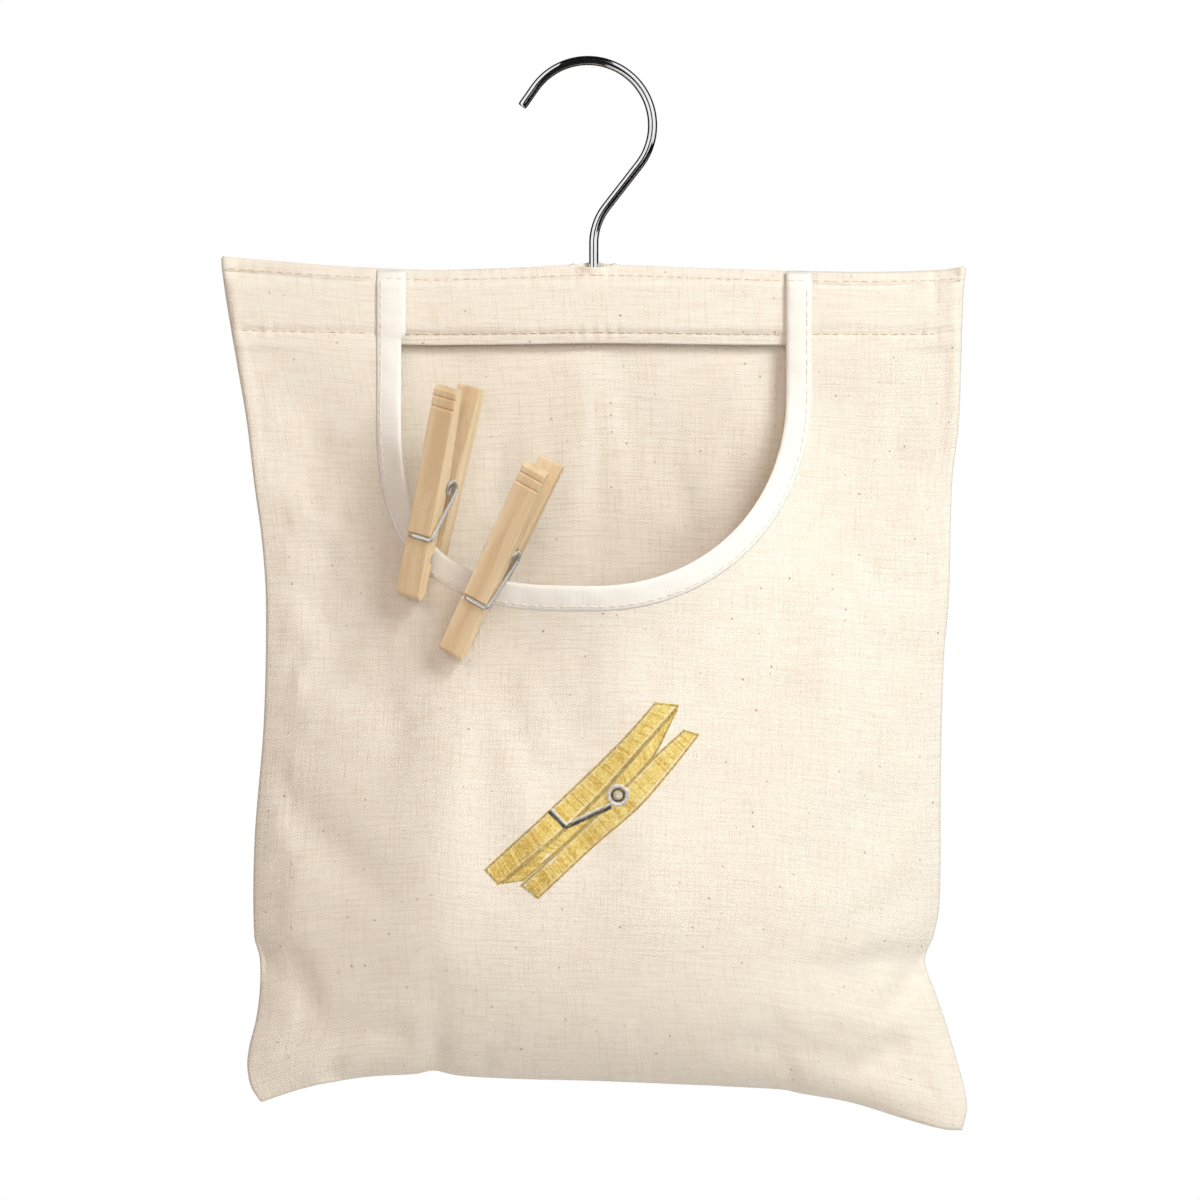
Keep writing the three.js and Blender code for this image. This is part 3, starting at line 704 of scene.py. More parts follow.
def heightAt(u, t):
    top = topAt(u)
    hem = top - panelPlan["hemDrop"] * np.minimum(t, 1)
    low = bottomAt(u)
    return hem + np.maximum(t - 1, 0) * (low - (top - panelPlan["hemDrop"]))


def frontRest(u, t):
    z = heightAt(u, t)
    return np.stack([xAt(u, z), -frontDepth(u, z), z], -1)


def backRest(u, t):
    z = heightAt(u, t)
    return np.stack([xAt(u, z), backDepth(u, z), z], -1)


def cellShare(kept):
    # the share of each face's corners that are kept
    kept = kept.astype(float)
    return (kept[:-1, :-1] + kept[1:, :-1] + kept[:-1, 1:] + kept[1:, 1:]) / 4


def frontCells(u, t):
    z = heightAt(u, t)
    return cellShare(mouthDistance(xAt(u, z), z) > 2) > 0.5


def backFree(u, t, eased=1.15):
    # 0 where the cloth is held, at the seams and through the hem
    return smoothStep(1 - np.abs(u), 0.0, 0.12) * smoothStep(t, 1.0, eased) * smoothStep(2 - t, 0, 0.08)


def frontFree(u, t):
    z = heightAt(u, t)
    x = xAt(u, z)
    return backFree(u, t, 1.12) * smoothStep(mouthDistance(x, z), 12, 34) * pegMask(x, z, 16, 34)


def simulatedMove(side, rest, hold, cellsOf=None):
    fromU = np.linspace(-1, 1, clothPlan["columns"])
    fromT = np.linspace(0, 2, clothPlan["rows"])
    u, t = np.meshgrid(fromU, fromT, indexing="ij")
    # the back's columns run the other way, so that its faces look out
    order = -1 if side == "back" else 1
    free = hold(u, t)
    cells = cellsOf(u, t) if cellsOf else None
    shift = settled(side + "Trial", rest(u, t)[::order], 1 - free[::order], cells)
    shift = shift[::order] * free[..., None]
    print(side, "panel settled, furthest move in mm:", round(float(np.abs(shift).max()), 2))
    return carried(shift, fromU, fromT, us, ts)


def flatPlace(points):
    # mean lengths along the cloth, in metres, so that the weave is hardly stretched and runs straight
    across = np.linalg.norm(np.diff(points, axis=0), axis=-1).mean(1)
    down = np.linalg.norm(np.diff(points, axis=1), axis=-1).mean(0)
    x, y = [np.concatenate([[0], np.cumsum(steps)]) for steps in (across, down)]
    return np.stack(np.meshgrid(x, y, indexing="ij"), -1).reshape(-1, 2) * mm


def thicken(piece, thickness):
    solid = piece.modifiers.new("thickness", "SOLIDIFY")
    solid.thickness = thickness * mm
    solid.offset = 1


def clothTree(piece):
    bpy.context.view_layer.update()
    shape = piece.evaluated_get(bpy.context.evaluated_depsgraph_get())
    mesh = shape.to_mesh()
    points = [v.co.copy() for v in mesh.vertices]
    tree = BVHTree.FromPolygons(points, [tuple(p.vertices) for p in mesh.polygons])
    shape.to_mesh_clear()
    return tree


# front panel

u, t = np.meshgrid(us, ts, indexing="ij")
offSeams = smoothStep(1 - np.abs(u), 0, 0.1)
frontPoints = frontRest(u, t)
x, z = frontPoints[..., 0], frontPoints[..., 2]
rim = mouthDistance(x, z)
calm = smoothStep(rim, 11, 30) * pegMask(x, z, 14, 30)
raised = folded("front", x, z) * calm
raised += calm * offSeams * uneven(x, z, 70, 19, 3)
for row in ("topStitch", "hemStitch"):
    raised += sewnDown(row, x, z, u) * smoothStep(rim, 2, 8)
strip = smoothStep(z - topAt(u) + bagForm["topStrip"], -0.17, 0.17)
raised += panelPlan["stripRise"] * strip * smoothStep(rim, 9.8, 12)
closed = -bagForm["sewn"] - turnedIn(u, z)
frontPoints[..., 1] = np.minimum(frontPoints[..., 1] - raised, closed) - seamLead(u, z)
frontPoints += simulatedMove("front", frontRest, frontFree, frontCells)
frontFaces = gridFaces(len(us), len(ts), cellShare(rim > panelPlan["rimCut"]) > 0.7)
frontPiece = meshPiece("frontPanel", frontPoints.reshape(-1, 3), frontFaces, canvas)
keepPlace(frontPiece, "clothPlace", flatPlace(frontPoints))
print("front panel made")


# back panel: up the back, over the bar and down its front to the hem's edge

backPoints = backRest(u, t)
x, z = backPoints[..., 0], backPoints[..., 2]
raised = folded("back", x, z) * smoothStep(t, 0.9, 1.1)
raised += offSeams * uneven(x, z, 64, 18, 13) * smoothStep(t, 0.9, 1.3)
raised += sewnDown("topStitch", x, z, u) * besideShank(x)
raised += sewnDown("hemStitch", x, z, u)
closed = bagForm["sewn"] + turnedIn(u, z)
backPoints[..., 1] = np.maximum(backPoints[..., 1] + raised, closed) - seamLead(u, z)
backPoints += simulatedMove("back", backRest, backFree)

hu, ht = np.meshgrid(us, np.linspace(0, 1, panelPlan["hemRows"]), indexing="ij")
follow = smoothCurve(bagForm["top"], hu) * panelPlan["hemFollow"]
hemZ = topAt(hu) + (bagForm["hemEdge"] - bagForm["topEdge"] - follow) * ht
hemX = xAt(hu, hemZ)
hang = 0.6 + 0.4 * smoothStep(hemZ, bagForm["hemEdge"], bagForm["barBottom"])
atBar = hemHalf(hu, np.maximum(hemZ, (bagForm["barTop"] + bagForm["barBottom"]) / 2))
hemY = np.maximum(hemHalf(hu, hemZ), bagForm["sewn"] + (atBar - bagForm["sewn"]) * hang)
hemY += sewnDown("topStitch", hemX, hemZ, hu) * besideShank(hemX)
hemY += sewnDown("hemStitch", hemX, hemZ, hu)
hemY += 0.35 * roughness2d(hemX, hemZ, 30, 21) * smoothStep(ht, 0.3, 0.7)
hemFront = np.stack([hemX, -np.maximum(hemY, bagForm["sewn"] * 0.5) - seamLead(hu, hemZ), hemZ], -1)


def slitShare(shares, points):
    # how far the layers part round the shank, and how far the rear one stands up like a tent
    drop = panelPlan["slitDrop"]
    near = smoothStep(drop - (topAt(shares) - points[..., 2]), 0, drop)
    x = np.abs(points[..., 0])
    part = np.cos(math.pi / 2 * np.clip(x / panelPlan["slitHalf"], 0, 1)) ** 2
    return part * near, np.clip(1 - x / panelPlan["tentHalf"], 0, 1) * near


part, tent = slitShare(u, backPoints)
backPoints[..., 1] += panelPlan["slitGap"] * part
backPoints[..., 2] += panelPlan["tent"] * tent
part, _ = slitShare(hu, hemFront)
hemFront[..., 1] -= panelPlan["slitGap"] * part
hemFront[..., 2] -= panelPlan["slitSag"] * part

backRows = np.concatenate([backPoints[:, ::-1], hemFront], axis=1)
turnOver = len(ts) - 1  # the face row across the fold
keep = np.ones((len(us) - 1, backRows.shape[1] - 1), bool)
foldX = (backRows[:-1, turnOver, 0] + backRows[1:, turnOver, 0]) / 2
keep[np.abs(foldX) < panelPlan["slitHalf"] - 1, turnOver] = False
backFaces = gridFaces(len(us), backRows.shape[1], keep)
backPiece = meshPiece("backPanel", backRows.reshape(-1, 3), backFaces, canvas)
keepPlace(backPiece, "clothPlace", flatPlace(backRows) + [0.41, 0.13])
print("back panel made")

for piece, node in ((frontPiece, "front_panel"), (backPiece, "back_panel")):
    thicken(piece, bagForm["cloth"])
    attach(piece, "bag")
    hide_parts(node)


# rim binding: tape folded over the mouth's raw edge

tapeForm = {"width": 10.0, "thickness": 0.8, "gap": 0.25, "puff": 0.55, "step": 1.6, "edgeRound": 1.5,
            "lapDrop": 28.0, "lapGrow": 1.9, "lapRise": 0.35, "wrinkle": 0.16, "crumple": 0.22}

line = mouthLine(tapeForm["step"])
forward = np.gradient(line, axis=0)
forward /= np.linalg.norm(forward, axis=1, keepdims=True)
outward = np.stack([forward[:, 1], -forward[:, 0]], 1)
along = np.concatenate([[0], np.cumsum(np.linalg.norm(np.diff(line, axis=0), axis=1))])
qs = np.concatenate([np.linspace(-1, -0.14, 11), np.linspace(-0.11, 0.11, 9), np.linspace(0.14, 1, 11)])
lapEnd = bagForm["topEdge"] - tapeForm["lapDrop"]
lap = (line[:, 0] < 0) * smoothStep(line[:, 1], lapEnd - 0.8, lapEnd + 0.8)  # a second layer on the left
tapePoints = np.zeros((len(line), len(qs), 3))
for j, q in enumerate(qs):
    away = abs(q) * tapeForm["width"]
    reach = away - tapeForm["lapGrow"] * lap * max(0, 1 - away / 6)
    px = line[:, 0] + outward[:, 0] * reach
    pz = line[:, 1] + outward[:, 1] * reach
    inner = frontDepth(uAt(px, pz), pz)
    wave = np.sin(along / 2.1 + 3 * np.sin(along / 23))
    wrinkle = tapeForm["wrinkle"] * wave * math.sin(math.pi * min(1, abs(q) * 1.1))
    wrinkle = wrinkle + tapeForm["crumple"] * roughness2d(along, np.full_like(along, q * 8), 9, 31)
    puff = tapeForm["puff"] * math.sin(math.pi * min(1, abs(q))) ** 0.7
    rounded = float(smoothStep(np.float64(away), 0, tapeForm["edgeRound"]) ** 0.5)
    half = (bagForm["cloth"] / 2 + tapeForm["gap"]) * rounded
    face = half + (puff + tapeForm["lapRise"] * lap + wrinkle) * rounded
    tapePoints[:, j, 0] = px
    tapePoints[:, j, 1] = -(inner + bagForm["cloth"] / 2 + (face if q < 0 else -face))
    tapePoints[:, j, 2] = pz
tapePiece = meshPiece("rimTape", tapePoints.reshape(-1, 3), gridFaces(len(line), len(qs)), tapeCotton)
tapeFlat = np.stack([np.tile(qs * 0.0105, len(line)), np.repeat(along * mm, len(qs))], 1)
keepPlace(tapePiece, "clothPlace", tapeFlat + [0.9, 0.2])
thicken(tapePiece, tapeForm["thickness"])
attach(tapePiece, "bag")
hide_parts("rim_binding")
print("rim tape made")


# threads

class ThreadBundle:
    def __init__(self):
        self.points, self.faces = [], []

    def tube(self, route, radii, sides=6):
        route = [Vector(p) for p in route]
        start = len(self.points)
        across = Vector((0.31, 1, 0.17))
        for i, point in enumerate(route):
            forward = route[min(i + 1, len(route) - 1)] - route[max(i - 1, 0)]
            forward.normalize()
            across = (across - forward * across.dot(forward)).normalized()
            up = forward.cross(across)
            for k in range(sides):
                turn = 2 * math.pi * k / sides
                self.points.append(point + radii[i] * (math.cos(turn) * across + math.sin(turn) * up))
        for i in range(len(route) - 1):
            for k in range(sides):
                a, b = start + i * sides + k, start + i * sides + (k + 1) % sides
                self.faces.append((a, b, b + sides, a + sides))
        last = start + (len(route) - 1) * sides
        self.faces.append(tuple(start + k for k in reversed(range(sides))))
        self.faces.append(tuple(last + k for k in range(sides)))

    def piece(self, name, material):
        return meshPiece(name, [tuple(p) for p in self.points], self.faces, material)


stitchForm = {"length": 2.9, "gap": 1.0, "radius": 0.27, "step": 0.25, "clear": 0.8,
              "reach": {"topStitch": 146.5, "hemStitch": 141}}


def onCloth(tree, x, z, fromFront):
    start = Vector(((x + shankX) * mm, -0.3 if fromFront else 0.3, z * mm))
    hit, normal, _, _ = tree.ray_cast(start, Vector((0, 1 if fromFront else -1, 0)))
    if hit is None:
        return None, None
    if (normal.y > 0) == fromFront:
        normal = -normal
    return Vector((hit.x / mm - shankX, hit.y / mm, hit.z / mm)), normal


def sewRow(bundle, tree, line, fromFront):
    step = stitchForm["step"]
    line = spacedLine(line, step)
    total = step * (len(line) - 1)
    pitch = stitchForm["length"] + stitchForm["gap"]
    for number in range(int(total / pitch)):
        begin = number * pitch + 0.3 * math.sin(number * 2.4)
        route = []
        for share in (0, 0.2, 0.5, 0.8, 1):
            spot = round((begin + share * stitchForm["length"]) / step)
            at = line[min(len(line) - 1, max(0, spot))]
            point, normal = onCloth(tree, at[0], at[1], fromFront)
            if point is None:
                break
            route.append(point + normal * (0.16 * math.sin(math.pi * share) - 0.05))
        if len(route) == 5:
            radii = [stitchForm["radius"] * k for k in (0.55, 0.95, 1.05, 0.95, 0.55)]
            bundle.tube(route, radii)


frontTree, backTree, tapeTree = [clothTree(piece) for piece in (frontPiece, backPiece, tapePiece)]


def acrossLine(row, fromX, toX):
    xs = np.linspace(fromX, toX, 80)
    return np.stack([xs, bagForm[row] + rowRise(row, xs / bagForm["cornerHalf"])], 1)


frontThreads, rearThreads, tapeThreads = [ThreadBundle() for _ in range(3)]
inside = mouthForm["radius"]
strap = inside + tapeForm["width"]
clear = stitchForm["clear"]
for row, reach in stitchForm["reach"].items():
    sewRow(frontThreads, frontTree, acrossLine(row, -reach, -strap - clear), True)
    sewRow(frontThreads, frontTree, acrossLine(row, strap + clear, reach), True)
    sewRow(frontThreads, backTree, acrossLine(row, -inside + 1, inside - 1), True)
    sewRow(rearThreads, backTree, acrossLine(row, -reach, reach), False)
for sign in (-1, 1):
    strapLine = acrossLine("topStitch", sign * inside + clear, sign * strap - clear * sign)
    sewRow(tapeThreads, tapeTree, strapLine, True)
outerRow = line + outward * (tapeForm["width"] - 1.7)
for fromFront in (True, False):
    sewRow(tapeThreads, tapeTree, outerRow[outerRow[:, 1] < bagForm["topStitch"] - 2], fromFront)
threadPieces = [frontThreads.piece("frontStitches", seamThread),
                rearThreads.piece("rearStitches", seamThread),
                tapeThreads.piece("tapeStitches", tapeThread)]
for piece in threadPieces:
    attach(piece, "bag")
print("seams sewn")


# embroidered peg on the front: a plain spring peg, turned so that one leg's face and both sides show

figureForm = {
    "at": (0.0, -294.0), "tilt": 42.6, "thread": 1.0, "fineThread": 0.62, "rise": 0.5, "edge": 0.8,
    "slant": 1.2,
    "coil": (8.6, -5.0), "coilRadius": 4.6, "hole": (-27.5, -5.0, 3.0, 1.3),
    # each face lies between a lower and an upper line, drawn along the peg from its jaws to its handles
    "faces": [
        {"name": "legFace", "lower": [(-50, 1.2), (-17, -0.2), (3, 0.2), (25, 2.4), (50, 5)],
         "upper": [(-50, 8.8), (-16, 8.8), (15, 9.3), (31, 10.3), (44, 11.8)]},
        {"name": "upperSide", "lower": [(-41.5, -4.2), (-20, -4.8), (8, -4.4), (29, -3), (45, 2.8)],
         "upper": [(-48.5, 0.4), (-17, -1), (3, -0.6), (25, 1.6), (48.5, 4.2)]},
        {"name": "lowerSide", "lower": [(-42, -13.4), (-12, -13.2), (12, -13.8), (30, -11.8), (48, -9)],
         "upper": [(-43.5, -5.4), (-20, -5.6), (8, -5.2), (29, -3.8), (45, -3.9)]},
    ],
    "wire": [(3.2, -6.6), (-15.6, -0.4), (-16.0, 8.8)],
}


def figurePoint(a, b):
    # a along the peg towards its handles, b across it
    turn = math.radians(figureForm["tilt"])
    x = figureForm["at"][0] + a * math.cos(turn) - b * math.sin(turn)
    z = figureForm["at"][1] + a * math.sin(turn) + b * math.cos(turn)
    return x, z


class StrandBundle(ThreadBundle):
    def strand(self, a0, b0, a1, b1, width, rise):
        shares = (0, 0.12, 0.5, 0.88, 1)
        heights = (0.0, 0.75, 1, 0.75, 0.0)
        ax, az = figurePoint(a0, b0)
        bx, bz = figurePoint(a1, b1)
        length = math.hypot(bx - ax, bz - az)
        if length < 0.2:
            return
        sideX, sideZ = -(bz - az) / length * width / 2, (bx - ax) / length * width / 2
        start = len(self.points)
        for share, height in zip(shares, heights):
            x, z = ax + (bx - ax) * share, az + (bz - az) * share
            thin = 0.55 + 0.45 * height
            for k, lift in ((-1, -0.1), (0, rise * height + 0.02), (1, -0.1)):
                point, normal = onCloth(frontTree, x + k * sideX * thin, z + k * sideZ * thin, True)
                self.points.append(point + normal * lift)
        for i in range(len(shares) - 1):
            for k in range(2):
                a = start + i * 3 + k
                self.faces.append((a, a + 1, a + 4, a + 3))

    def alongLine(self, line, width, rise):
        # short strands side by side along a line
        for a, b, da, db in stepsAlong(line):
            half = width / 2
            self.strand(a + db * half - da * 0.4, b - da * half - db * 0.4,
                        a - db * half + da * 0.4, b + da * half + db * 0.4, figureForm["fineThread"], rise)


def stepsAlong(line):
    points = spacedLine(line, figureForm["fineThread"] * 0.85)
    forward = np.gradient(points, axis=0)
    forward /= np.linalg.norm(forward, axis=1, keepdims=True)
    return np.concatenate([points, forward], axis=1)


def drawnLine(points, shares):
    along = points[0, 0] + (points[-1, 0] - points[0, 0]) * shares
    return np.stack([along, smoothCurve(points, along)], 1)


random = np.random.default_rng(7)
gold, paintedShadeGold, edging, slate, white = [StrandBundle() for _ in range(5)]
for face in figureForm["faces"]:
    lower, upper = np.array(face["lower"], float), np.array(face["upper"], float)
    shares = np.linspace(0, 1, 200)
    low, high = drawnLine(lower, shares), drawnLine(upper, shares)
    count = round(np.linalg.norm(lower[-1] - lower[0]) / (figureForm["thread"] * 0.8))
    hole = figureForm["hole"]
    for number in range(count):
        share = (number + 0.5) / count
        jitter = random.uniform(-0.25, 0.25, 2)
        a0, b0 = [np.interp(share, shares, low[:, k]) for k in (0, 1)]
        a1, b1 = [np.interp(share, shares, high[:, k]) for k in (0, 1)]
        if abs(a0 - hole[0]) < hole[2]:
            inset = hole[3] * math.sqrt(1 - ((a0 - hole[0]) / hole[2]) ** 2)
            b0 = max(b0, hole[1] + inset) if face["name"] == "upperSide" else b0
            b1 = min(b1, hole[1] - inset) if face["name"] == "lowerSide" else b1
        slant = figureForm["slant"]
        # the darker gold strands are painted shade: some fall at random, as the shade between strands, and
        # more of them lie towards the jaws, the figure's lower-left end away from the light
        deep = 0.3 + 0.4 * float(smoothStep(-a0, 0, 45))  # more of the deep gold towards the jaws
        bundle = paintedShadeGold if random.random() < deep else gold
        bundle.strand(a0 - slant, b0 + 0.3 + jitter[0], a1 + slant, b1 - 0.3 + jitter[1],
                      figureForm["thread"], figureForm["rise"] * random.uniform(0.75, 1.15))
    outline = [low, high, np.stack([low[0], high[0]]), np.stack([low[-1], high[-1]])]
    for edge in outline:
        edging.alongLine(edge, figureForm["edge"], figureForm["rise"] * 1.35)

coil = figureForm["coil"]
coilRings = ((white, 0.82, 1.7, 0.95), (slate, 0.52, 1.1, 0.8), (white, 0.17, 1.7, 0.9))
for bundle, share, width, rise in coilRings:
    bundle.alongLine(arc(coil, figureForm["coilRadius"] * share, 0, 2 * math.pi, 60), width, rise)
slate.alongLine(figureForm["wire"], 1.5, 0.95)
white.alongLine([(a + 1.0, b + 1.0) for a, b in figureForm["wire"][:2]] + [(-14.7, 8.8)], 1.0, 0.9)
figurePlan = ((gold, "figureGold", goldThread), (paintedShadeGold, "figurePaintedShadeGold", paintedShadeThread),
              (edging, "figureEdging", edgeThread), (slate, "figureSlate", slateThread),
              (white, "figureWhite", whiteThread))
for bundle, name, material in figurePlan:
    piece = bundle.piece(name, material)
    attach(piece, "bag")


# hook: one bent wire with a riveted head

hookForm = {"wire": 1.9, "loop": 26.0, "neck": 24.0, "neckDepth": 71.6, "tipTurn": 145, "tipLength": 9.0,
            "tipEnd": 0.86, "headTop": -100.7, "step": 0.9, "sides": 28,
            # radius, and height from the head's top
            "head": [(0.2, 0), (2.3, 0), (2.8, -0.25), (3.0, -0.7), (2.85, -1.3), (2.2, -1.7),
                     (0.2, -1.85)]}


def hookRoute():
    loop = np.array([0, hookForm["wire"] - hookForm["loop"]])
    bend = np.array([shankX + hookForm["neck"], -hookForm["neckDepth"]])
    between = bend - loop
    far = np.linalg.norm(between)
    touch = math.atan2(between[1], between[0]) + math.acos((hookForm["loop"] + hookForm["neck"]) / far)
    end = math.radians(hookForm["tipTurn"])
    route = [(shankX, hookForm["headTop"] - 1), (shankX, -hookForm["neckDepth"])]
    route += arc(bend, hookForm["neck"], math.pi, math.pi + touch, 40)[1:]
    route += arc(loop, hookForm["loop"], touch, end, 120)
    tip = np.array([-math.sin(end), math.cos(end)])
    route.append(tuple(np.array(route[-1]) + tip * hookForm["tipLength"]))
    flat = spacedLine(route, hookForm["step"])
    return [(p[0] - shankX, 0, p[1]) for p in flat]


route = hookRoute()
wireBundle = ThreadBundle()
radii = [hookForm["wire"]] * len(route)
radii[-1] = hookForm["wire"] * hookForm["tipEnd"]
wireBundle.tube(route, radii, hookForm["sides"])
wireBundle.tube([(0, 0, hookForm["headTop"] + height) for _, height in hookForm["head"]],
                [radius for radius, _ in hookForm["head"]], hookForm["sides"])
hookPiece = wireBundle.piece("hookWire", hookChrome)
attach(hookPiece, "hook")
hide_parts("hook")
print("hook bent")


# spring pegs

pegForm = {"width": 10.5, "handle": 40.0, "thickness": 7.5, "tilt": 2.5, "taper": 7.5, "jawHalf": 2.4,
           "notchRadius": 2.2, "notchDepth": 29.0, "groove": 0.6, "grooveStep": 4.2, "chamfer": 1.5,
           "wire": 0.85, "coil": 2.75, "turns": 4, "armDepth": 21.0, "armSink": 0.6, "armShort": 1.5,
           "armBend": 1.5, "endThin": 0.8, "sides": 12, "turnSteps": 20, "room": 0.3, "edge": 0.32}
seatRadius = pegForm["coil"] + pegForm["wire"] + pegForm["room"]


def outerFace(height):
    return pegForm["jawHalf"] + pegForm["thickness"] + height * math.tan(math.radians(pegForm["tilt"]))


armOut = outerFace(-pegForm["armDepth"]) + pegForm["wire"] - pegForm["armSink"]


def legOutline():
    half, chamfer = pegForm["jawHalf"], pegForm["chamfer"]
    handle = pegForm["handle"]
    outline = [(half + chamfer, -jawLength), (outerFace(-jawLength) - chamfer, -jawLength),
               (outerFace(chamfer - jawLength), chamfer - jawLength)]
    grooveRadius = pegForm["wire"] + pegForm["room"]
    armHalf = math.acos((pegForm["wire"] - pegForm["armSink"]) / grooveRadius)
    outline += arc((armOut, -pegForm["armDepth"]), grooveRadius, math.pi + armHalf, math.pi - armHalf, 7)
    for i in (2, 1):
        height = handle - i * pegForm["grooveStep"]
        deep = pegForm["groove"]
        outline += [(outerFace(height), height - deep), (outerFace(height) - deep, height),
                    (outerFace(height), height + deep)]
    outline += [(outerFace(handle - chamfer), handle - chamfer), (outerFace(handle) - chamfer, handle)]
    seatHalf = math.acos(half / seatRadius)
    seatTop = seatRadius * math.sin(seatHalf)
    outline.append((half + (handle - seatTop) * math.tan(math.radians(pegForm["taper"])), handle))
    outline += arc((0, 0), seatRadius, seatHalf, -seatHalf, 12)
    outline += arc((half, -pegForm["notchDepth"]), pegForm["notchRadius"], math.pi / 2, -math.pi / 2, 11)
    outline.append((half, 2 * chamfer - jawLength))
    return outline


def inPlace(place, points):
    axes = np.stack([place["x"], place["y"], place["z"]])
    return np.asarray(points, float) @ axes + place["at"]


def pegLeg(name, place, flip, seed):
    build = bmesh.new()
    outline = legOutline()
    rings = []
    for x in (-pegForm["width"] / 2, pegForm["width"] / 2):
        rings.append([build.verts.new((flip * x, flip * y, z)) for y, z in outline])
    count = len(outline)
    build.faces.new(rings[0])
    build.faces.new(list(reversed(rings[1])))
    for i in range(count):
        j = (i + 1) % count
        build.faces.new((rings[0][j], rings[0][i], rings[1][i], rings[1][j]))
    bmesh.ops.recalc_face_normals(build, faces=build.faces)
    sharp = [e for e in build.edges if e.calc_face_angle(0) > math.radians(40)]
    bmesh.ops.bevel(build, geom=sharp, offset=pegForm["edge"], segments=2, profile=0.6, affect="EDGES",
                    clamp_overlap=True)
    bmesh.ops.triangulate(build, faces=[f for f in build.faces if len(f.verts) > 4])
    own = np.array([v.co for v in build.verts])
    mesh = bpy.data.meshes.new(name)
    build.to_mesh(mesh)
    build.free()
    corners = (inPlace(place, own) + [shankX, 0, 0]) * mm
    mesh.vertices.foreach_set("co", corners.astype(np.float32).ravel())
    mesh.materials.append(pegWood)
    mesh.update()
    piece = linked(name, mesh)
    keepPlace(piece, "grainPlace", own * mm + np.array([0.031, 0.017, 0.23]) * seed)
    return piece


def springRoute():
    side = pegForm["width"] / 2 + pegForm["room"] + pegForm["wire"]
    reach = math.hypot(armOut, pegForm["armDepth"])
    leave = math.atan2(-pegForm["armDepth"], -armOut) + math.acos(pegForm["coil"] / reach)
    wound = 2 * math.pi * pegForm["turns"] + math.pi - 2 * leave
    coil = []
    for share in np.linspace(0, 1, math.ceil(pegForm["turnSteps"] * wound / (2 * math.pi))):
        turn = leave + wound * share
        out, up = pegForm["coil"] * math.cos(turn), pegForm["coil"] * math.sin(turn)
        coil.append((side - 2 * side * share, out, up))

    def arm(sign, start):
        corner = Vector((sign * side, -sign * armOut, -pegForm["armDepth"]))
        endX = sign * (pegForm["armShort"] - pegForm["width"] / 2)
        end = Vector((endX, -sign * armOut, -pegForm["armDepth"]))
        before = corner + (Vector(start) - corner).normalized() * pegForm["armBend"]
        after = corner + (end - corner).normalized() * pegForm["armBend"]
        shares = np.linspace(0, 1, 8)
        bend = [before * (1 - k) ** 2 + corner * 2 * k * (1 - k) + after * k ** 2 for k in shares]
        straight = [before.lerp(Vector(start), k) for k in np.linspace(0.92, 0.08, 9)]
        across = [after.lerp(end, k) for k in np.linspace(0.2, 1, 5)]
        return [*straight, *bend, *across]

    front, rear = arm(1, coil[0]), arm(-1, coil[-1])
    return [*reversed([tuple(p) for p in front]), *coil, *[tuple(p) for p in rear]]


for number, side in enumerate(("left", "right")):
    place = pegPlaces[side]
    for leg, flip, body in (("front", -1, side + "_peg_front"), ("rear", 1, side + "_peg")):
        piece = pegLeg(f"{side}Peg{leg.title()}Leg", place, flip, 1 + number * 2 + (flip > 0))
        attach(piece, body)
        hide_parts(f"{side}_peg_{leg}_leg")
    bundle = ThreadBundle()
    route = inPlace(place, springRoute())
    radii = [pegForm["wire"]] * len(route)
    radii[0] = radii[-1] = pegForm["wire"] * pegForm["endThin"]
    bundle.tube(route, radii, pegForm["sides"])
    spring = bundle.piece(side + "PegSpring", springSteel)
    middle = (place["at"] + [shankX, 0, 0]) * mm
    reach = place["y"] * pegForm["coil"] * mm
    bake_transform(spring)
    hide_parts(side + "_peg_spring")
print("pegs made")


# hidden pieces keep their solids

for node, material in (("hanger_bar", barWood), ("hook_washer", springSteel)):
    frame["nodes"][node].data.materials.clear()
    frame["nodes"][node].data.materials.append(material)


# studio

studioPlan = {"floorDrop": 0.75, "floorRadius": 1.15, "centre": (0.0049, -0.018, -0.2146), "distance": 2.6,
              "frameWidth": 0.4783, "sensor": 36, "farthest": 50, "ambient": 0.12}

floorMesh = bpy.data.meshes.new("floor")
build = bmesh.new()
bmesh.ops.create_circle(build, cap_ends=True, segments=96, radius=studioPlan["floorRadius"])
build.to_mesh(floorMesh)
build.free()
floor = linked("floor", floorMesh)
floor.location.z = -studioPlan["floorDrop"]
floorPaper, tree, shader = newMaterial("floorPaper")
feed(tree, shader, {"Base Color": colour(246, 246, 246), "Roughness": 0.9})
floorMesh.materials.append(floorPaper)


def lamp(name, place, size, power, tint):
    data = bpy.data.lights.new(name, "AREA")
    data.shape = "RECTANGLE"
    data.size, data.size_y = size
    data.energy = power
    data.color = tint
    made = linked(name, data)
    made.location = place
    made.visible_glossy = False
    aim = Vector(studioPlan["centre"]) - Vector(place)
    made.rotation_euler = aim.to_track_quat("-Z", "Y").to_euler()


coolTint, warmTint = (0.92, 0.985, 1.0), (1.0, 0.84, 0.75)
lamp("keyLamp", (0.8, -1.05, 0.85), (0.45, 0.45), 14.4, coolTint)
lamp("sideLamp", (1.3, -1.2, 0.4), (0.7, 0.7), 11.6, coolTint)
lamp("fillLamp", (-1.0, -1.5, 0.9), (1.0, 1.0), 9.2, warmTint)
lamp("frontLamp", (0.0, -2.2, 0.1), (1.0, 1.0), 9.1, warmTint)
lamp("backLamp", (-0.6, 1.6, 0.4), (1.4, 1.4), 16, (1.0, 0.99, 0.98))

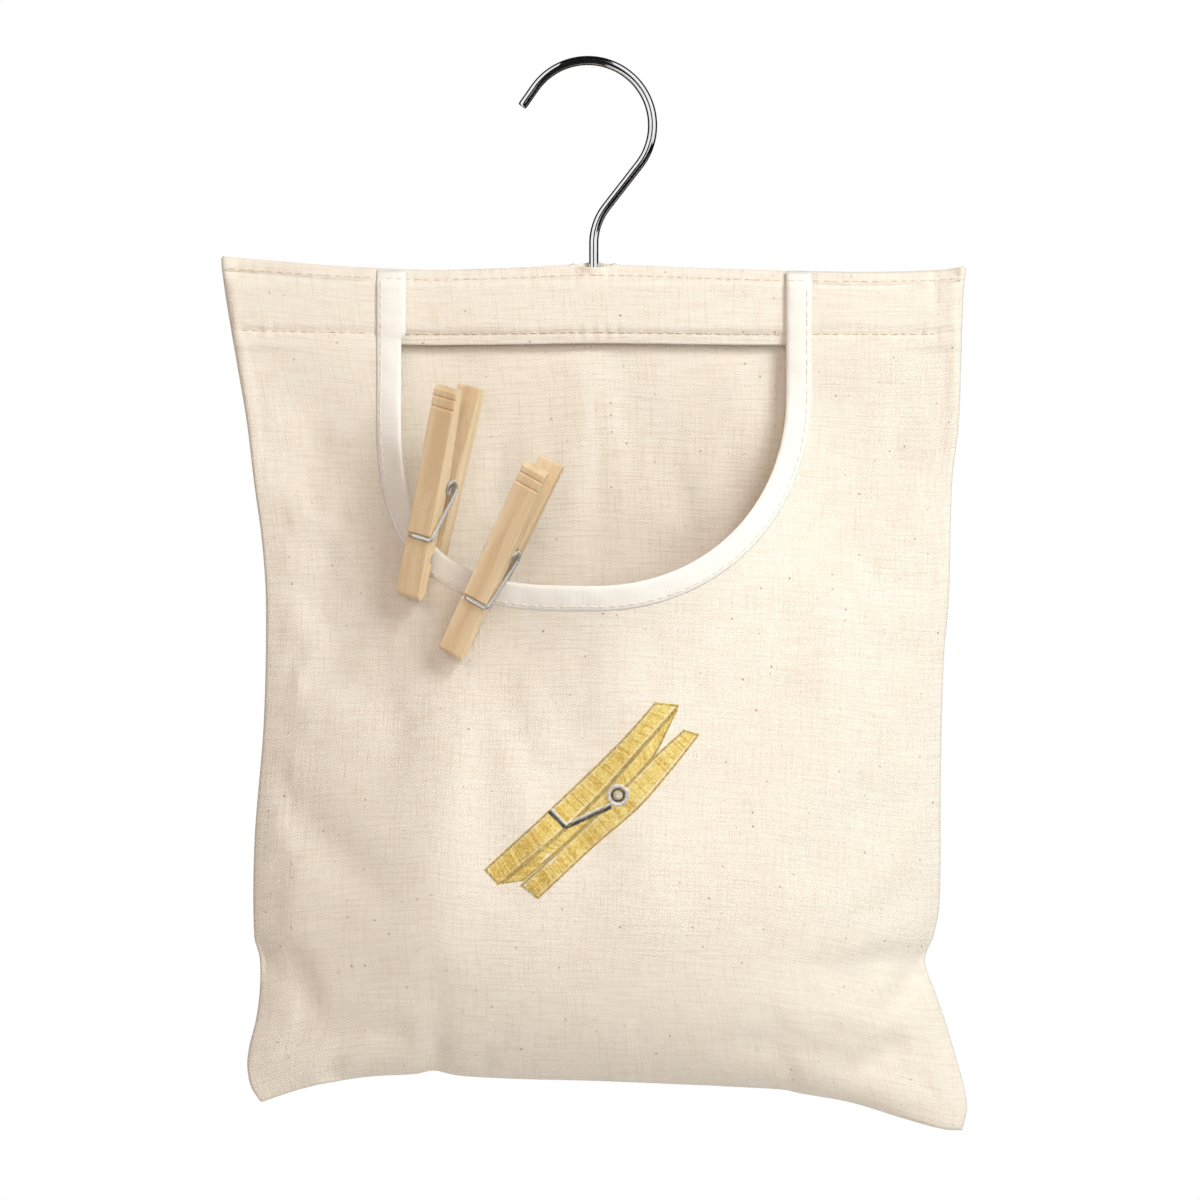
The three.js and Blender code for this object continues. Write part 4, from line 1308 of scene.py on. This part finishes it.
# dark flags round the bag, which only polished metal shows, each as two opposite corners in metres
flagPlan = {
    "right": ((0.8, -0.15, -1.2), (0.8, 2.4, 1.2)), "left": ((-0.8, -0.15, -1.2), (-0.8, 2.4, 1.2)),
    "top": ((-1.2, -0.15, 0.8), (1.2, 2.4, 0.8)), "topFront": ((-0.35, -1.5, 0.8), (0.3, -0.15, 0.8)),
    "bottom": ((-1.2, -0.15, -0.72), (1.5, 2.4, -0.72)),
    "bottomFront": ((-0.25, -1.5, -0.72), (1.5, -0.15, -0.72)),
    "middle": ((-0.55, -1.5, -1.5), (0.26, -1.5, 1.5)),
    "lowRight": ((0.8, -1.5, -1.2), (0.8, -0.15, -0.18)),
    "lowFront": ((0.26, -1.5, -1.5), (1.5, -1.5, -0.18)),
}
flagDark = 0.01
flagPaper, tree, shader = newMaterial("flagPaper")
feed(tree, shader, {"Base Color": (flagDark, flagDark, flagDark, 1), "Roughness": 1})
for name, ((x0, y0, z0), (x1, y1, z1)) in flagPlan.items():
    corners = [(x0, y0, z0), (x1, y0, z0), (x1, y1, z1), (x0, y1, z1)]
    if x0 == x1:
        corners = [(x0, y0, z0), (x0, y1, z0), (x0, y1, z1), (x0, y0, z1)]
    flagMesh = bpy.data.meshes.new(name + "Flag")
    flagMesh.from_pydata(corners, [], [(0, 1, 2, 3)])
    flagMesh.materials.append(flagPaper)
    flag = linked(name + "Flag", flagMesh)
    flag.visible_camera = flag.visible_diffuse = flag.visible_shadow = flag.visible_transmission = False

world = bpy.data.worlds.new("studio")
scene.world = world
world.use_nodes = True
tree = world.node_tree
tree.nodes.clear()
rays = add(tree, "ShaderNodeLightPath").outputs
seen = math2(tree, "MAXIMUM", rays["Is Camera Ray"], rays["Is Glossy Ray"])
seen = math2(tree, "MAXIMUM", seen, rays["Is Transmission Ray"])
soft = add(tree, "ShaderNodeBackground", {"Color": (1.0, 0.88, 0.8, 1), "Strength": studioPlan["ambient"]})
plain = add(tree, "ShaderNodeBackground", {"Color": (1, 1, 1, 1), "Strength": 1.0})
both = add(tree, "ShaderNodeMixShader", {0: seen, 1: soft.outputs[0], 2: plain.outputs[0]})
add(tree, "ShaderNodeOutputWorld", {"Surface": both.outputs[0]})

cameraData = bpy.data.cameras.new("camera")
camera = linked("camera", cameraData)
cameraData.sensor_width = studioPlan["sensor"]
cameraData.lens = studioPlan["sensor"] * studioPlan["distance"] / studioPlan["frameWidth"]
camera.location = Vector(studioPlan["centre"]) + Vector((0, -studioPlan["distance"], 0))
camera.rotation_euler = (math.pi / 2, 0, 0)
cameraData.clip_end = studioPlan["farthest"]
scene.camera = camera
scene.view_settings.view_transform = "Standard"
print("studio set")
